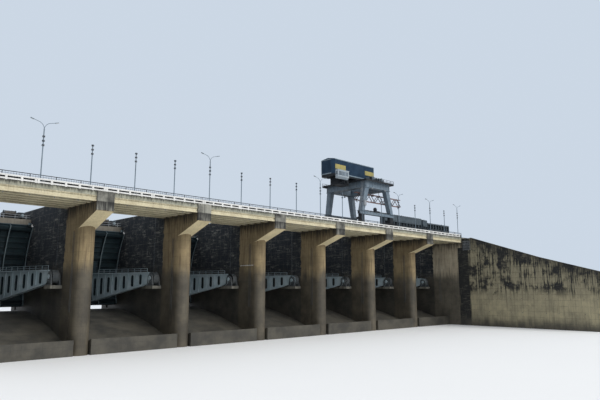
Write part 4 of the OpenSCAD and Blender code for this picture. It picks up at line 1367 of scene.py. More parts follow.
@dataclass
class GateFittings(Fittings):
    """Seals, stiffeners, flanges and arm gear of one radial gate.

    Attributes:
        bay: number of the gate.
        skin_r: outer radius of the skin.
        rib_r: radius of the ribs' inner edges.
        lip: angle of the lip below the axis, in degrees.
        top: angle of the top above the axis.
        girders: angles of the cross girders.
        hub_offset: distance of a hub's middle from the pier.
        arm_deg: angle of an arm in plan.
        arm_top: height of an arm's upper edge above the axis.
        slots: distances of the arm's slots from the axis.
        cells: number of straight pieces in the bend of the skin.
    """

    slot: str = "gate_steel"
    bay: int = 0
    skin_r: float = 2.46
    rib_r: float = 2.34
    lip: float = 17.0
    top: float = 33.3
    side_gap: float = 0.01
    ribs: int = 5
    rib_t: float = 0.024
    girders: tuple[float, ...] = (-13.0, -5.0, 4.0, 15.0, 31.5)
    hub_offset: float = 0.13
    hub_len: float = 0.14
    hub_r: float = 0.15
    arm_deg: float = 14.0
    arm_top: float = 0.155
    slots: tuple[float, ...] = (0.44, 0.74, 1.05, 1.36, 1.65, 1.93, 2.19)
    cells: int = 24

    def __post_init__(self) -> None:
        """Find the gate's hinge, sides and body."""
        self.axis = self.site.axis(self.bay)
        self.left, self.right = self.site.faces[self.bay]
        self.first, self.last = self.left + self.side_gap, self.right - self.side_gap
        self.body = f"gate_{self.bay}"

    def build(self) -> None:
        """Add every piece."""
        self._flanges()
        self._seals()
        self._caps()
        self._arms()

    def _piece(self, name: str) -> Workpiece:
        """Start a piece that is named after the gate."""
        return Workpiece(f"{self.body}_{name}")

    def _flanges(self) -> None:
        """Flanges on the ribs and girders, and thin stiffeners between them."""
        light = self._piece("rib_flanges")
        dark = self._piece("stiffeners")
        half_rib = self.rib_t / 2
        for x in spread(self.first + half_rib, self.last - half_rib, self.ribs):
            light.arc(self.axis, (max(self.first, x - 0.011), min(self.last, x + 0.011)),
                      (self.rib_r - 0.008, self.rib_r), (-self.lip, self.top), self.cells)
        for a in self.girders:
            half = math.degrees(0.034 / self.rib_r)
            dark.arc(self.axis, (self.first, self.last), (self.rib_r + 0.014, self.rib_r + 0.021),
                     (a - half, a + half))
        for a in spread(-self.lip + 1.6, self.top - 1.2, 15):
            half = math.degrees(0.004 / self.skin_r)
            dark.arc(self.axis, (self.first + 0.03, self.last - 0.03),
                     (self.skin_r - 0.06, self.skin_r - 0.028), (a - half, a + half))
        self.fit(light, "arm_edge")
        self.fit(dark, "gate_paint")

    def _seals(self) -> None:
        """Rubber seals with clamping bars and bolts on the upstream side and at the lip."""
        rubber = self._piece("seals")
        bars = self._piece("clamping_bars")
        outer, sweep = self.skin_r, (-self.lip, self.top)
        for x, way in ((self.first, 1), (self.last, -1)):
            rubber.arc(self.axis, (x, x + way * 0.045), (outer, outer + 0.006), sweep, self.cells)
            bars.arc(self.axis, (x + way * 0.014, x + way * 0.036), (outer + 0.006, outer + 0.011),
                     sweep, self.cells)
            middle = Vector((x + way * 0.025, self.axis.y, self.axis.z))
            for a in steps(-self.lip + 1.0, self.top - 1.0, 2.2):
                bars.bolts([middle + ray(a) * (outer + 0.011)], ray(a))
        rubber.arc(self.axis, (self.first, self.last), (outer - 0.028, outer - 0.004),
                   (-self.lip - 0.16, -self.lip))
        self.fit(rubber, "black_rubber")
        self.fit(bars, "galvanised")

    def _caps(self) -> None:
        """Pale plates at the top corners and the sheaves at the lifting lugs."""
        caps = self._piece("corner_caps")
        sheaves = self._piece("lug_sheaves")
        lug = ray(self.top) * 2.405 + ray(self.top + 90.0) * 0.04
        for x, way in ((self.first, 1), (self.last, -1)):
            caps.arc(self.axis, (x, x + way * 0.05), (self.rib_r, self.skin_r), (self.top, self.top + 0.35))
            middle = Vector((x + way * 0.08, self.axis.y, self.axis.z)) + lug
            for side in (-ALONG, ALONG):
                centre = middle + side * 0.02
                sheaves.rod(centre, centre + side * 0.012, 0.028, 16)
                sheaves.rod(centre, centre + side * 0.02, 0.008, 8)
        self.fit(caps, "white_paint")
        self.fit(sheaves, "arm_edge", smooth=True)

    def _arms(self) -> None:
        """Slot liners, stiffeners, walkway boards and hub gear of the two arms; the liners' dark paint is
        painted shade inside the slots.
        """
        liners = self._piece("slot_liners")
        webs = self._piece("arm_stiffeners")
        boards = self._piece("walkway_boards")
        hubs = self._piece("hub_gear")
        turn = math.radians(self.arm_deg)
        for face, way in ((self.left, 1), (self.right, -1)):
            hub = Vector((face + way * self.hub_offset, self.axis.y, self.axis.z))
            place = plane_at(hub, Vector((way * math.sin(turn), math.cos(turn), 0.0)), UP)
            for y in self.slots:
                self._shade_liner(liners, place, y / math.cos(turn), self._low(y) + 0.025)
            for y in [(a + b) / 2 for a, b in zip(self.slots, self.slots[1:])]:
                x = y / math.cos(turn)
                for side in (-0.034, 0.034):
                    webs.block((x - 0.003, self._low(y) + 0.02, side - 0.009),
                               (x + 0.003, self.arm_top - 0.02, side + 0.009), place)
            for x in steps(0.34, 2.2, 0.03):
                boards.block((x - 0.011, self.arm_top, -0.052),
                             (x + 0.011, self.arm_top + 0.004, 0.045), place)
            for side in (-ALONG, ALONG):
                rim = hub + side * (self.hub_len / 2 - 0.006)
                hubs.rod(rim - ALONG * 0.006, rim + ALONG * 0.006, self.hub_r + 0.006, 32)
                hubs.rod(hub, rim, self.hub_r + 0.002, 32)
                hubs.bolts(ring(hub + side * self.hub_len / 2, side, 0.118, 12), side, 0.007)
        # The dark gate paint on the liners is painted shade inside the slots.
        self.fit(liners, "gate_paint", "arm_steel")
        self.fit(webs, "arm_paint", "arm_steel")
        self.fit(boards, "galvanised", "arm_steel")
        self.fit(hubs, "bracket_paint", "arm_steel", smooth=True)

    @staticmethod
    def _low(y: float) -> float:
        """Return the height of an arm's lower edge at a distance from the axis."""
        return -0.207 - 0.222 * (y - 0.405)

    def _shade_liner(self, work: Workpiece, place: Matrix, x: float, low: float) -> None:
        """Add the liner of one slot, which stands a little proud of both faces of the arm; its dark paint is
        painted shade on the slot's inner wall.

        Args:
            work: the piece it belongs to.
            place: the plane of the arm.
            x: distance of the slot along the arm.
            low: height of the slot's lower end.
        """
        high = self.arm_top - 0.025
        middle, reach = (low + high) / 2, (high - low) * 0.28
        points: list[Vector] = []
        for r, side in ((0.043, -0.03), (0.043, 0.03), (0.036, 0.03), (0.036, -0.03)):
            for way in (1, -1):
                centre = Vector((x, middle + way * reach, side))
                turn = half_ring(centre, ALONG * way * r, UPSTREAM * way * r, 7)
                points += [place @ point for point in turn]
        count = len(points) // 4
        work.add(points, [(k * count + i, k * count + (i + 1) % count, (k + 1) % 4 * count + (i + 1) % count,
                           (k + 1) % 4 * count + i) for k in range(4) for i in range(count)])


@dataclass
class HoistFittings(Fittings):
    """Motors, ropes, lids and cabinets of the gate hoists on the service deck.

    Attributes:
        hoist_y: distance upstream of a hoist.
        starts: distance of each hoist's start from the left and the right pier.
        drum_z: height of a drum's axis above the deck.
        lay: spacing of the rope turns.
    """

    hoist_y: float = 3.33
    floor_z: float = 3.17
    starts: Spot = (0.12, -0.65)
    drum_z: float = 0.15
    drum_r: float = 0.065
    turns: int = 24
    lay: float = 0.0115
    fins: int = 12

    def build(self) -> None:
        """Add every piece."""
        motors = Workpiece("hoist_motors")
        ropes = Workpiece("hoist_ropes")
        lids = Workpiece("hoist_lids")
        cabinets = Workpiece("hoist_cabinets")
        y = self.site.nose_y + self.hoist_y
        for faces in self.site.faces:
            for face, shift in zip(faces, self.starts):
                axis = Vector((face + shift, y + 0.11, self.floor_z + self.drum_z))
                self._rope(ropes, axis)
                self._lids(lids, axis)
                self._motor(motors, axis + Vector((0.455, -0.07, -0.05)))
            self._cabinet(cabinets, Vector((sum(faces) / 2, y, self.floor_z)))
        self.fit(motors, "house_trim", smooth=True)
        self.fit(ropes, "wire_rope")
        self.fit(lids, "crane_paint")
        self.fit(cabinets, "galvanised", bevel=0.002)

    def _rope(self, ropes: Workpiece, axis: Vector) -> None:
        """Wind the rope on the drum that starts at axis."""
        r = self.drum_r
        profile = []
        for i in range(self.turns):
            x = 0.045 + i * self.lay
            profile += [(r + 0.001, x), (r + 0.005, x + 0.004), (r + 0.001, x + 0.008)]
        ropes.turned(profile, standing(axis, ALONG), 20)

    def _lids(self, lids: Workpiece, axis: Vector) -> None:
        """Add the flanges of the drum that starts at axis, and the lid of its gear case."""
        for x in (0.034, 0.32):
            lids.rod(axis + ALONG * x, axis + ALONG * (x + 0.006), 0.082, 20)
        box = axis + Vector((0.38, 0.0, self.drum_z * 0.2))
        lids.block(box + Vector((-0.004, -0.074, -0.005)), box + Vector((0.154, 0.074, 0.008)))
        spots = [box + Vector((x, y, 0.008)) for x in spread(0.006, 0.144, 4) for y in (-0.066, 0.066)]
        lids.bolts(spots, UP)

    def _motor(self, motors: Workpiece, spot: Vector) -> None:
        """Add a finned motor that stands out downstream of spot."""
        motors.rod(spot, spot - UPSTREAM * 0.09, 0.038, 18)
        motors.rod(spot - UPSTREAM * 0.09, spot - UPSTREAM * 0.1, 0.03, 18)
        for fin in ring(Vector(), UPSTREAM, 1.0, self.fins):
            root = spot + fin * 0.036
            motors.bar(root - UPSTREAM * 0.012, root - UPSTREAM * 0.08, 0.012, 0.003, fin.cross(UPSTREAM))

    @staticmethod
    def _cabinet(cabinets: Workpiece, foot: Vector) -> None:
        """Add a cabinet with two doors, its front at foot."""
        cabinets.block(foot + Vector((-0.09, 0.0, 0.0)), foot + Vector((0.09, 0.1, 0.2)))
        cabinets.block(foot + Vector((-0.1, -0.01, 0.2)), foot + Vector((0.1, 0.11, 0.208)))
        for x in (-0.084, 0.004):
            door = foot + ALONG * x
            knob = door + Vector((0.07, -0.004, 0.1))
            cabinets.block(door + Vector((0.0, -0.004, 0.015)), door + Vector((0.08, 0.0, 0.19)))
            cabinets.rod(knob, knob - UPSTREAM * 0.006, 0.004)


@dataclass
class StoplogFittings(Fittings):
    """Dark panels, bands, lids and lifting eyes of the stored stoplogs.

    Attributes:
        stacks: start, length, rows and row height of each stack.
        cell: usual width of a window.
        open_rows: number of rows with windows, from below.
    """

    slot: str = "gate_steel"
    stacks: tuple[tuple[float, float, int, float], ...] = (
        (13.19, 0.78, 3, 0.21), (14.0, 1.56, 3, 0.21), (15.67, 0.3, 3, 0.2), (16.01, 1.59, 2, 0.255))
    bearer_h: float = 0.03
    cell: float = 0.195
    open_rows: int = 2

    def build(self) -> None:
        """Add every piece."""
        panels = Workpiece("stoplog_panels")
        bands = Workpiece("stoplog_bands")
        lids = Workpiece("stoplog_lids")
        eyes = Workpiece("stoplog_eyes")
        for start, length, rows, h in self.stacks:
            foot = self.site.at(start, 0.0, self.site.deck_z + self.bearer_h)
            for row in range(rows):
                low = foot + UP * (row * h)
                for z0, z1 in ((0.004, 0.036), (h - 0.038, h - 0.006)):
                    bands.block(low + Vector((0.004, -0.006, z0)), low + Vector((length - 0.004, 0.0, z1)))
                if row < self.open_rows:
                    self._windows(panels, low, length, h)
            top = foot + UP * (rows * h)
            lids.block(top + Vector((0.01, 0.01, 0.0)), top + Vector((length - 0.01, 0.19, 0.008)))
            for x in steps(0.03, length - 0.03, 0.12):
                lids.block(top + Vector((x - 0.005, 0.004, 0.0)), top + Vector((x + 0.005, 0.196, 0.014)))
            for x in (0.25 * length, 0.75 * length):
                eyes.path(half_ring(top + Vector((x, 0.1, 0.01)), ALONG * 0.024, UP * 0.03, 8), 0.006)
        self.fit(panels, "stoplog_paint")
        self.fit(bands, "stoplog_frame", bevel=0.001)
        self.fit(lids, "stoplog_paint")
        self.fit(eyes, "bracket_paint", smooth=True)

    def _windows(self, panels: Workpiece, low: Vector, length: float, height: float) -> None:
        """Add a dark panel and a bar behind each window of one row.

        Args:
            panels: the piece they belong to.
            low: lowest corner of the row.
            length: length of the row.
            height: height of the row.
        """
        edges = spread(0.0, length, round(length / self.cell) + 1)
        for start, end in zip(edges, edges[1:]):
            a, b = start + 0.018, end - 0.018
            panels.block(low + Vector((a, 0.088, 0.042)), low + Vector((b, 0.1, height - 0.042)))
            panels.bar(low + Vector((a, 0.06, height / 2)), low + Vector((b, 0.06, height / 2)),
                       0.05, 0.008, UPSTREAM)


@dataclass
class WallFittings(Fittings):
    """Weep pipes of the training wall and the grille of its recess.

    Attributes:
        weeps: height and last distance downstream of each row of weep pipes.
        recess: first and last distance downstream of the recess, and its lowest and highest Z.
    """

    weeps: tuple[Spot, ...] = ((0.55, 5.55), (1.05, 5.55), (1.55, 5.3))
    weep_step: float = 0.42
    recess: Spot = (0.734, 1.08, 2.91, 3.29)

    def build(self) -> None:
        """Add every piece."""
        pipes = Workpiece("weep_pipes")
        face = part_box("abutment")[0].x
        for z, last in self.weeps:
            for y in steps(1.3, last, self.weep_step):
                spot = Vector((face, self.site.nose_y - y, z))
                pipes.rod(spot + ALONG * 0.01, spot - ALONG * 0.012, 0.012)
        self.fit(pipes, "bracket_paint", smooth=True)
        grille = Workpiece("recess_grille")
        near, far, z0, z1 = self.recess
        for y in steps(near + 0.015, far - 0.015, 0.035):
            centre = self.site.nose_y - y
            grille.block((face + 0.012, centre - 0.003, z0), (face + 0.022, centre + 0.003, z1))
        y0, y1 = self.site.nose_y - far, self.site.nose_y - near
        for z in spread(z0 + 0.02, z1 - 0.02, 4):
            grille.block((face + 0.014, y0, z - 0.004), (face + 0.02, y1, z + 0.004))
        self.fit(grille, "galvanised")


@dataclass
class CraneFittings(Fittings):
    """Ladders, plates, stiffeners, motors, buffers, reel and lights of the gantry crane.

    Attributes:
        feet: distance upstream and half spread of the legs of each portal.
        top_half: half spread of the legs at the top.
        wheels: distance of each wheel from the middle of its bogie.
    """

    body: str = "crane"
    feet: tuple[Spot, ...] = ((-0.45, 0.79), (1.12, 0.69))
    top_half: float = 0.555
    leg_w: float = 0.2
    foot_w: float = 0.14
    leg_d: float = 0.16
    sill_h: float = 0.1
    wheels: tuple[float, ...] = (-0.15, -0.05, 0.05, 0.15)

    def __post_init__(self) -> None:
        """Find the crane's girders and sills."""
        self.low, self.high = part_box("crane_girders")
        self.x = (self.low.x + self.high.x) / 2
        self.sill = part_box("crane_legs")[0].z
        self.foot = self.sill + self.sill_h

    def build(self) -> None:
        """Add every piece."""
        self._legs()
        self._platform()
        self._girders()
        self._drives()
        self._reel()
        self._cabinets()
        self._lights()

    def _spot(self, x: float, y: float, z: float) -> Vector:
        """Return a point measured along X from the middle of the crane."""
        return Vector((self.x + x, self.site.nose_y + y, z))

    def _leg(self, half: float, z: float) -> tuple[float, float]:
        """Return the middle and half the width of a leg at height z."""
        t = (z - self.foot) / (self.low.z - self.foot)
        return half + (self.top_half - half) * t, (self.foot_w + (self.leg_w - self.foot_w) * t) / 2

    def _legs(self) -> None:
        """Collars round the legs, foot and head plates with bolts, and the ladders."""
        collars = Workpiece("leg_collars")
        bolts = Workpiece("leg_bolts")
        ladders = Workpiece("crane_ladders")
        for y, half in self.feet:
            for way in BOTH:
                for z in spread(self.foot + 0.13, self.low.z - 0.13, 4):
                    middle, w = self._leg(half, z)
                    band = (2 * w + 0.01, self.leg_d + 0.01, 0.012)
                    collars.slab(self._spot(way * middle, y, z - 0.006), band)
                for z in (self.foot, self.low.z - 0.014):
                    middle, w = self._leg(half, z)
                    plate = self._spot(way * middle, y, z)
                    collars.slab(plate, (2 * w + 0.056, self.leg_d + 0.04, 0.014))
                    spots = [plate + Vector((x, s, 0.014)) for x in (-w - 0.016, w + 0.016)
                             for s in spread(-self.leg_d / 2, self.leg_d / 2, 4)]
                    bolts.bolts(spots, UP, 0.006, 0.008)
            self._ladder(ladders, y, half)
        self.fit(collars, "crane_paint", "crane_steel", bevel=0.001)
        self.fit(bolts, "crane_dark", "crane_steel")
        self.fit(ladders, "galvanised")

    def _ladder(self, ladders: Workpiece, y: float, half: float) -> None:
        """Add a ladder with hoops up the outside of one leg.

        Args:
            ladders: the piece it belongs to.
            y: distance upstream of the leg.
            half: half spread of the legs at the foot.
        """
        side = -1 if y < 0 else 1
        low_z, high_z = self.foot + 0.02, self.low.z
        start = self._spot(side * (sum(self._leg(half, low_z)) + 0.035), y, low_z)
        end = self._spot(side * (sum(self._leg(half, high_z)) + 0.035), y, high_z + 0.2)
        ladder(ladders, start, end, UPSTREAM, 0.05, 0.03)
        for t in spread(0.3, 0.98, 6):
            ladders.path(half_ring(start.lerp(end, t), UPSTREAM * 0.04, ALONG * side * 0.075, 7), 0.0025, 5)

    def _girders(self) -> None:
        """Flange edges and upright stiffeners of the top girders and the sills."""
        edges = Workpiece("girder_edges")
        ribs = Workpiece("girder_stiffeners")
        a, b = self.low, self.high
        z0, z1 = a.z + 0.01, b.z - 0.02
        for z in (a.z, z1):
            edges.rim(a, b, 0.012, z, 0.01)
        for x in steps(a.x + 0.05, b.x - 0.05, 0.15):
            for y, out in ((a.y, -0.01), (b.y, 0.01)):
                ribs.block((x - 0.003, y, z0), (x + 0.003, y + out, z1))
        for y in steps(a.y + 0.05, b.y - 0.05, 0.16):
            for x, out in ((a.x, -0.01), (b.x, 0.01)):
                ribs.block((x, y - 0.003, z0), (x + out, y + 0.003, z1))
        for y, half in self.feet:
            reach = half + 0.12
            for lift in (0.002, 0.09):
                edges.slab(self._spot(0.0, y, self.sill + lift), (2 * reach, 0.136, 0.008))
            for x in steps(-reach + 0.05, reach - 0.05, 0.16):
                ribs.slab(self._spot(x, y, self.sill + 0.01), (0.006, 0.134, 0.08))
        self.fit(edges, "house_trim", "crane_steel")
        self.fit(ribs, "crane_paint", "crane_steel")

    def _platform(self) -> None:
        """Edge boards and cantilever bars of the platform."""
        boards = Workpiece("platform_edges")
        low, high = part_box("crane_platform")
        top = self.high.z
        for level, height in ((top - 0.045, 0.035), (top, 0.02)):
            boards.rim(low, high, -0.006, level, height)
        for x in steps(low.x + 0.02, high.x - 0.02, 0.25):
            for y0, y1 in ((low.y, self.low.y), (self.high.y, high.y)):
                boards.bar((x, y0, top - 0.015), (x, y1, top - 0.015), 0.008, 0.008)
        self.fit(boards, "crane_dark")

    def _drives(self) -> None:
        """Motors, wheel covers and buffers of the bogies."""
        motors = Workpiece("crane_motors")
        buffers = Workpiece("crane_buffers")
        for y, half in self.feet:
            inward = UPSTREAM if y < 0 else -UPSTREAM
            for way in BOTH:
                start = self._spot(way * half, y, self.sill - 0.12) + inward * 0.06
                for near, far, r in ((0.0, 0.03, 0.045), (0.03, 0.12, 0.034), (0.12, 0.14, 0.027)):
                    motors.rod(start + inward * near, start + inward * far, r, 20)
                out = ALONG * way
                end = self._spot(way * (half + 0.12), y, self.sill + 0.05)
                buffers.rod(end, end + out * 0.03, 0.03, 16)
                buffers.rod(end + out * 0.03, end + out * 0.055, 0.024, 16, 0.018)
                for x in self.wheels:
                    for side in BOTH:
                        hub = self._spot(way * half + x, y + side * 0.042, self.site.deck_z + 0.048)
                        motors.rod(hub, hub + UPSTREAM * side * 0.008, 0.014)
        self.fit(motors, "crane_dark", smooth=True)
        self.fit(buffers, "black_rubber", smooth=True)

    def _reel(self) -> None:
        """Cable reel on the downstream sill, and the conduit along it."""
        reel = Workpiece("cable_reel")
        y, half = self.feet[0]
        centre = self._spot(-0.16, y - 0.06, self.sill + 0.185)
        for face in (centre, centre - UPSTREAM * 0.04):
            reel.rod(face, face - UPSTREAM * 0.005, 0.075, 28)
        reel.rod(centre, centre - UPSTREAM * 0.045, 0.04, 24)
        reel.rod(centre + UPSTREAM * 0.03, centre - UPSTREAM * 0.055, 0.012, 12)
        reel.block(centre + Vector((-0.03, 0.005, -0.085)), centre + Vector((0.03, 0.03, 0.04)))
        reel.block(self._spot(-0.04, y - 0.05, self.foot), self._spot(0.14, y + 0.04, self.foot + 0.06))
        self.fit(reel, "crane_dark", smooth=True)
        pipe = Workpiece("sill_conduit")
        y, z = y - 0.03, self.foot + 0.025
        pipe.rod(self._spot(-half + 0.1, y, z), self._spot(half - 0.1, y, z), 0.016, 12)
        for x in spread(-half + 0.14, half - 0.14, 9):
            pipe.slab(self._spot(x, y, self.foot), (0.016, 0.04, 0.043))
        self.fit(pipe, "crane_dark", smooth=True)

    def _cabinets(self) -> None:
        """Cabinet with a door and a roof on one leg."""
        boxes = Workpiece("crane_cabinets")
        y, half = self.feet[0]
        middle = self._leg(half, self.sill + 0.35)[0]
        low = self._spot(-middle - 0.05, y - self.leg_d / 2 - 0.04, self.sill + 0.28)
        for corner, opposite in (((0.0, 0.0, 0.0), (0.11, 0.04, 0.17)),
                                 ((0.008, -0.004, 0.008), (0.102, 0.0, 0.162)),
                                 ((-0.005, -0.012, 0.17), (0.115, 0.04, 0.176))):
            boxes.block(low + Vector(corner), low + Vector(opposite))
        self.fit(boxes, "galvanised", "crane_steel", bevel=0.002)

    def _lights(self) -> None:
        """Floodlights below the girders."""
        lights = Workpiece("crane_floodlights")
        for x in (-0.35, 0.35):
            for y, out in ((self.low.y - 0.03, -UPSTREAM), (self.high.y + 0.03, UPSTREAM)):
                spot = Vector((self.x + x, y, self.low.z - 0.02))
                lights.prism([(-0.035, -0.02), (0.035, -0.02), (0.028, 0.02), (-0.028, 0.02)],
                             plane_at(spot, ALONG, UP * 0.85 - out * 0.5), 0.03)
                lights.bar(spot, spot - out * 0.02 + UP * 0.035, 0.01, 0.006, ALONG)
        self.fit(lights, "galvanised", "crane_steel")


@dataclass
class TrolleyFittings(Fittings):
    """Cladding, trim, panels, openings, cabin glass and hoist gear of the trolley.

    Attributes:
        eaves_drop: height of the ridge above the eaves.
        corner: width of the bevelled corner.
        rib_t: thickness and half the width of a rib.
    """

    body: str = "trolley"
    slot: str = "house_steel"
    eaves_drop: float = 0.045
    corner: float = 0.06
    rib_step: float = 0.058
    rib_t: float = 0.006
    rim_t: float = 0.01
    windows: int = 5
    louvres: int = 9

    def __post_init__(self) -> None:
        """Find the machine house."""
        self.low, self.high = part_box("machine_house")
        self.eaves = self.high.z - self.eaves_drop

    def build(self) -> None:
        """Add every piece."""
        self._cladding()
        self._roof()
        self._panels()
        self._openings()
        self._cabin()
        self._gear()
        self._under_gear()

    def _cladding(self) -> None:
        """Upright ribs on the four walls, and the light rims above and below them."""
        ribs = Workpiece("house_cladding")
        trim = Workpiece("house_rims")
        a, b, t, rim = self.low, self.high, self.rib_t, self.rim_t
        bevel_y = a.y + 2 * self.corner
        z0, z1 = a.z + 0.04, self.eaves - 0.02
        for x in steps(a.x + self.corner + 0.02, b.x - 0.02, self.rib_step):
            for y, out in ((a.y, -t), (b.y, t)):
                ribs.block((x - t, y, z0), (x + t, y + out, z1))
        for y in steps(a.y + 0.02, b.y - 0.02, self.rib_step):
            ribs.block((b.x, y - t, z0), (b.x + t, y + t, z1))
            if y > bevel_y:
                ribs.block((a.x - t, y - t, z0), (a.x, y + t, z1))
        for level, h in ((a.z, 0.034), (self.eaves - 0.026, 0.02)):
            trim.block((a.x + self.corner, a.y - rim, level), (b.x + rim, a.y, level + h))
            trim.block((a.x, b.y, level), (b.x + rim, b.y + rim, level + h))
            trim.block((b.x, a.y, level), (b.x + rim, b.y, level + h))
            trim.block((a.x - rim, bevel_y, level), (a.x, b.y, level + h))
        for x, y in ((b.x, a.y), (b.x, b.y), (a.x, b.y)):
            trim.slab((x, y, a.z), (0.016, 0.016, self.eaves - 0.004 - a.z))
        self.fit(ribs, "house_paint")
        self.fit(trim, "house_trim")

    def _roof(self) -> None:
        """Standing seams, kept below the ridge."""
        seams = Workpiece("roof_seams")
        middle = (self.low.y + self.high.y) / 2
        slope = self.eaves_drop / (middle - self.low.y)
        for x in steps(self.low.x + 0.08, self.high.x - 0.04, 0.12):
            for y0, way in ((self.low.y, 1), (self.high.y, -1)):
                start = Vector((x, y0 + way * 0.01, self.eaves + 0.01 * slope + 0.001))
                end = Vector((x, middle - way * 0.04, self.high.z - 0.04 * slope + 0.001))
                seams.bar(start, end, 0.005, 0.006)
        self.fit(seams, "house_trim")

    def _panels(self) -> None:
        """Yellow panels at both ends of the front, the right one turned round the corner."""
        panels = Workpiece("yellow_panels")
        a, b = self.low, self.high
        z, y = a.z + 0.16, a.y - 0.011
        for x0, x1, h in ((a.x + self.corner + 0.006, a.x + 0.58, 0.16), (b.x - 0.5, b.x - 0.004, 0.15)):
            panels.block((x0, y, z), (x1, a.y - 0.002, z + h))
            spots = [(x, y, z + t * h) for x in (x0 + 0.006, x1 - 0.006) for t in (0.1, 0.5, 0.9)]
            panels.bolts(spots, -UPSTREAM, 0.003, 0.002)
        panels.block((b.x + 0.002, a.y + 0.01, z), (b.x + 0.011, a.y + 0.16, z + 0.15))
        self.fit(panels, "yellow_paint", bevel=0.001)

    def _openings(self) -> None:
        """Windows on the upstream side, and a door with louvres above it on the end."""
        frames = Workpiece("house_frames")
        glass = Workpiece("house_windows")
        a, b = self.low, self.high
        z0, z1 = a.z + 0.25, a.z + 0.38
        for x in spread(a.x + 0.35, b.x - 0.35, self.windows):
            frames.block((x - 0.075, b.y + 0.004, z0 - 0.01), (x + 0.075, b.y + 0.011, z1 + 0.01))
            glass.block((x - 0.065, b.y + 0.008, z0), (x + 0.065, b.y + 0.013, z1))
            frames.block((x - 0.003, b.y + 0.01, z0), (x + 0.003, b.y + 0.015, z1))
        door = (a.y + b.y) / 2 + 0.1
        knob = Vector((b.x + 0.011, door + 0.04, a.z + 0.15))
        frames.block((b.x + 0.004, door - 0.055, a.z + 0.04), (b.x + 0.011, door + 0.055, a.z + 0.27))
        frames.rod(knob, knob + ALONG * 0.009, 0.004)
        tilt = ALONG - UP * 0.8
        for i in range(self.louvres):
            spot = Vector((b.x + 0.006, door, a.z + 0.3 + i * 0.016))
            frames.bar(spot - UPSTREAM * 0.09, spot + UPSTREAM * 0.09, 0.003, 0.012, tilt)
        self.fit(frames, "house_trim")
        self.fit(glass, "window_glass")

    def _cabin(self) -> None:
        """Windows with frames round the driver's cabin, and its roof edge."""
        a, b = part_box("operator_cabin")
        glass = Workpiece("cabin_glass")
        frames = Workpiece("cabin_frames")
        z0, z1 = a.z + 0.1, b.z - 0.05
        front = a.y - 0.006
        posts = spread(a.x + 0.03, b.x - 0.03, 4)
        for x0, x1 in zip(posts, posts[1:]):
            glass.block((x0 + 0.008, a.y - 0.003, z0), (x1 - 0.008, a.y, z1))
        for x in posts:
            frames.block((x - 0.005, front, z0 - 0.01), (x + 0.005, a.y, z1 + 0.01))
        for z in (z0 - 0.01, z1):
            frames.block((a.x + 0.02, front, z), (b.x - 0.02, a.y, z + 0.01))
        for x, out in ((a.x, -0.003), (b.x, 0.003)):
            glass.block((x, a.y + 0.02, z0 + 0.02), (x + out, b.y - 0.02, z1))
        frames.block((a.x - 0.008, a.y - 0.01, b.z - 0.012), (b.x + 0.008, a.y + 0.01, b.z + 0.004))
        self.fit(glass, "cabin_glass", "crane_steel")
        self.fit(frames, "cabin_paint", "crane_steel")

    def _gear(self) -> None:
        """Drum flanges, motor and covers of the hoist."""
        gear = Workpiece("hoist_gear")
        low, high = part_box("hoist_drums")
        y, z = low.y + 0.066, low.z + 0.08
        for x in spread(low.x + 0.06, high.x - 0.06, 5):
            gear.rod((x - 0.003, y, z), (x + 0.003, y, z), 0.05, 20)
        gear.rod((high.x, y, z), (high.x + 0.11, y, z), 0.036, 18)
        gear.block((high.x, y - 0.045, z - 0.06), (high.x + 0.03, y + 0.045, z + 0.06))
        gear.block((low.x - 0.03, y - 0.04, z - 0.06), (low.x, y + 0.04, z + 0.05))
        self.fit(gear, "crane_dark", "crane_steel", smooth=True)

    def _under_gear(self) -> None:
        """Plates, shafts and motors of the machinery below the house, in the dark crane paint, which also
        stands for the shade there: painted shade.
        """
        under = Workpiece("under_house_gear")
        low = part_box("trolley_frame")[0]
        left, front = low.x + 0.33, self.site.nose_y
        for x in spread(left + 0.06, left + 0.46, 5):
            under.block((x - 0.004, front - 0.012, low.z + 0.02), (x + 0.004, front, low.z + 0.23))
        for z in (low.z + 0.06, low.z + 0.17):
            under.rod((left + 0.02, front - 0.02, z), (left + 0.5, front - 0.02, z), 0.012)
        for x in (left + 0.13, left + 0.38):
            for near, far, r in ((0.0, 0.05, 0.04), (0.05, 0.065, 0.026)):
                under.rod((x, front - near, low.z + 0.115), (x, front - far, low.z + 0.115), r, 18)
        self.fit(under, "crane_dark", "crane_steel", smooth=True)


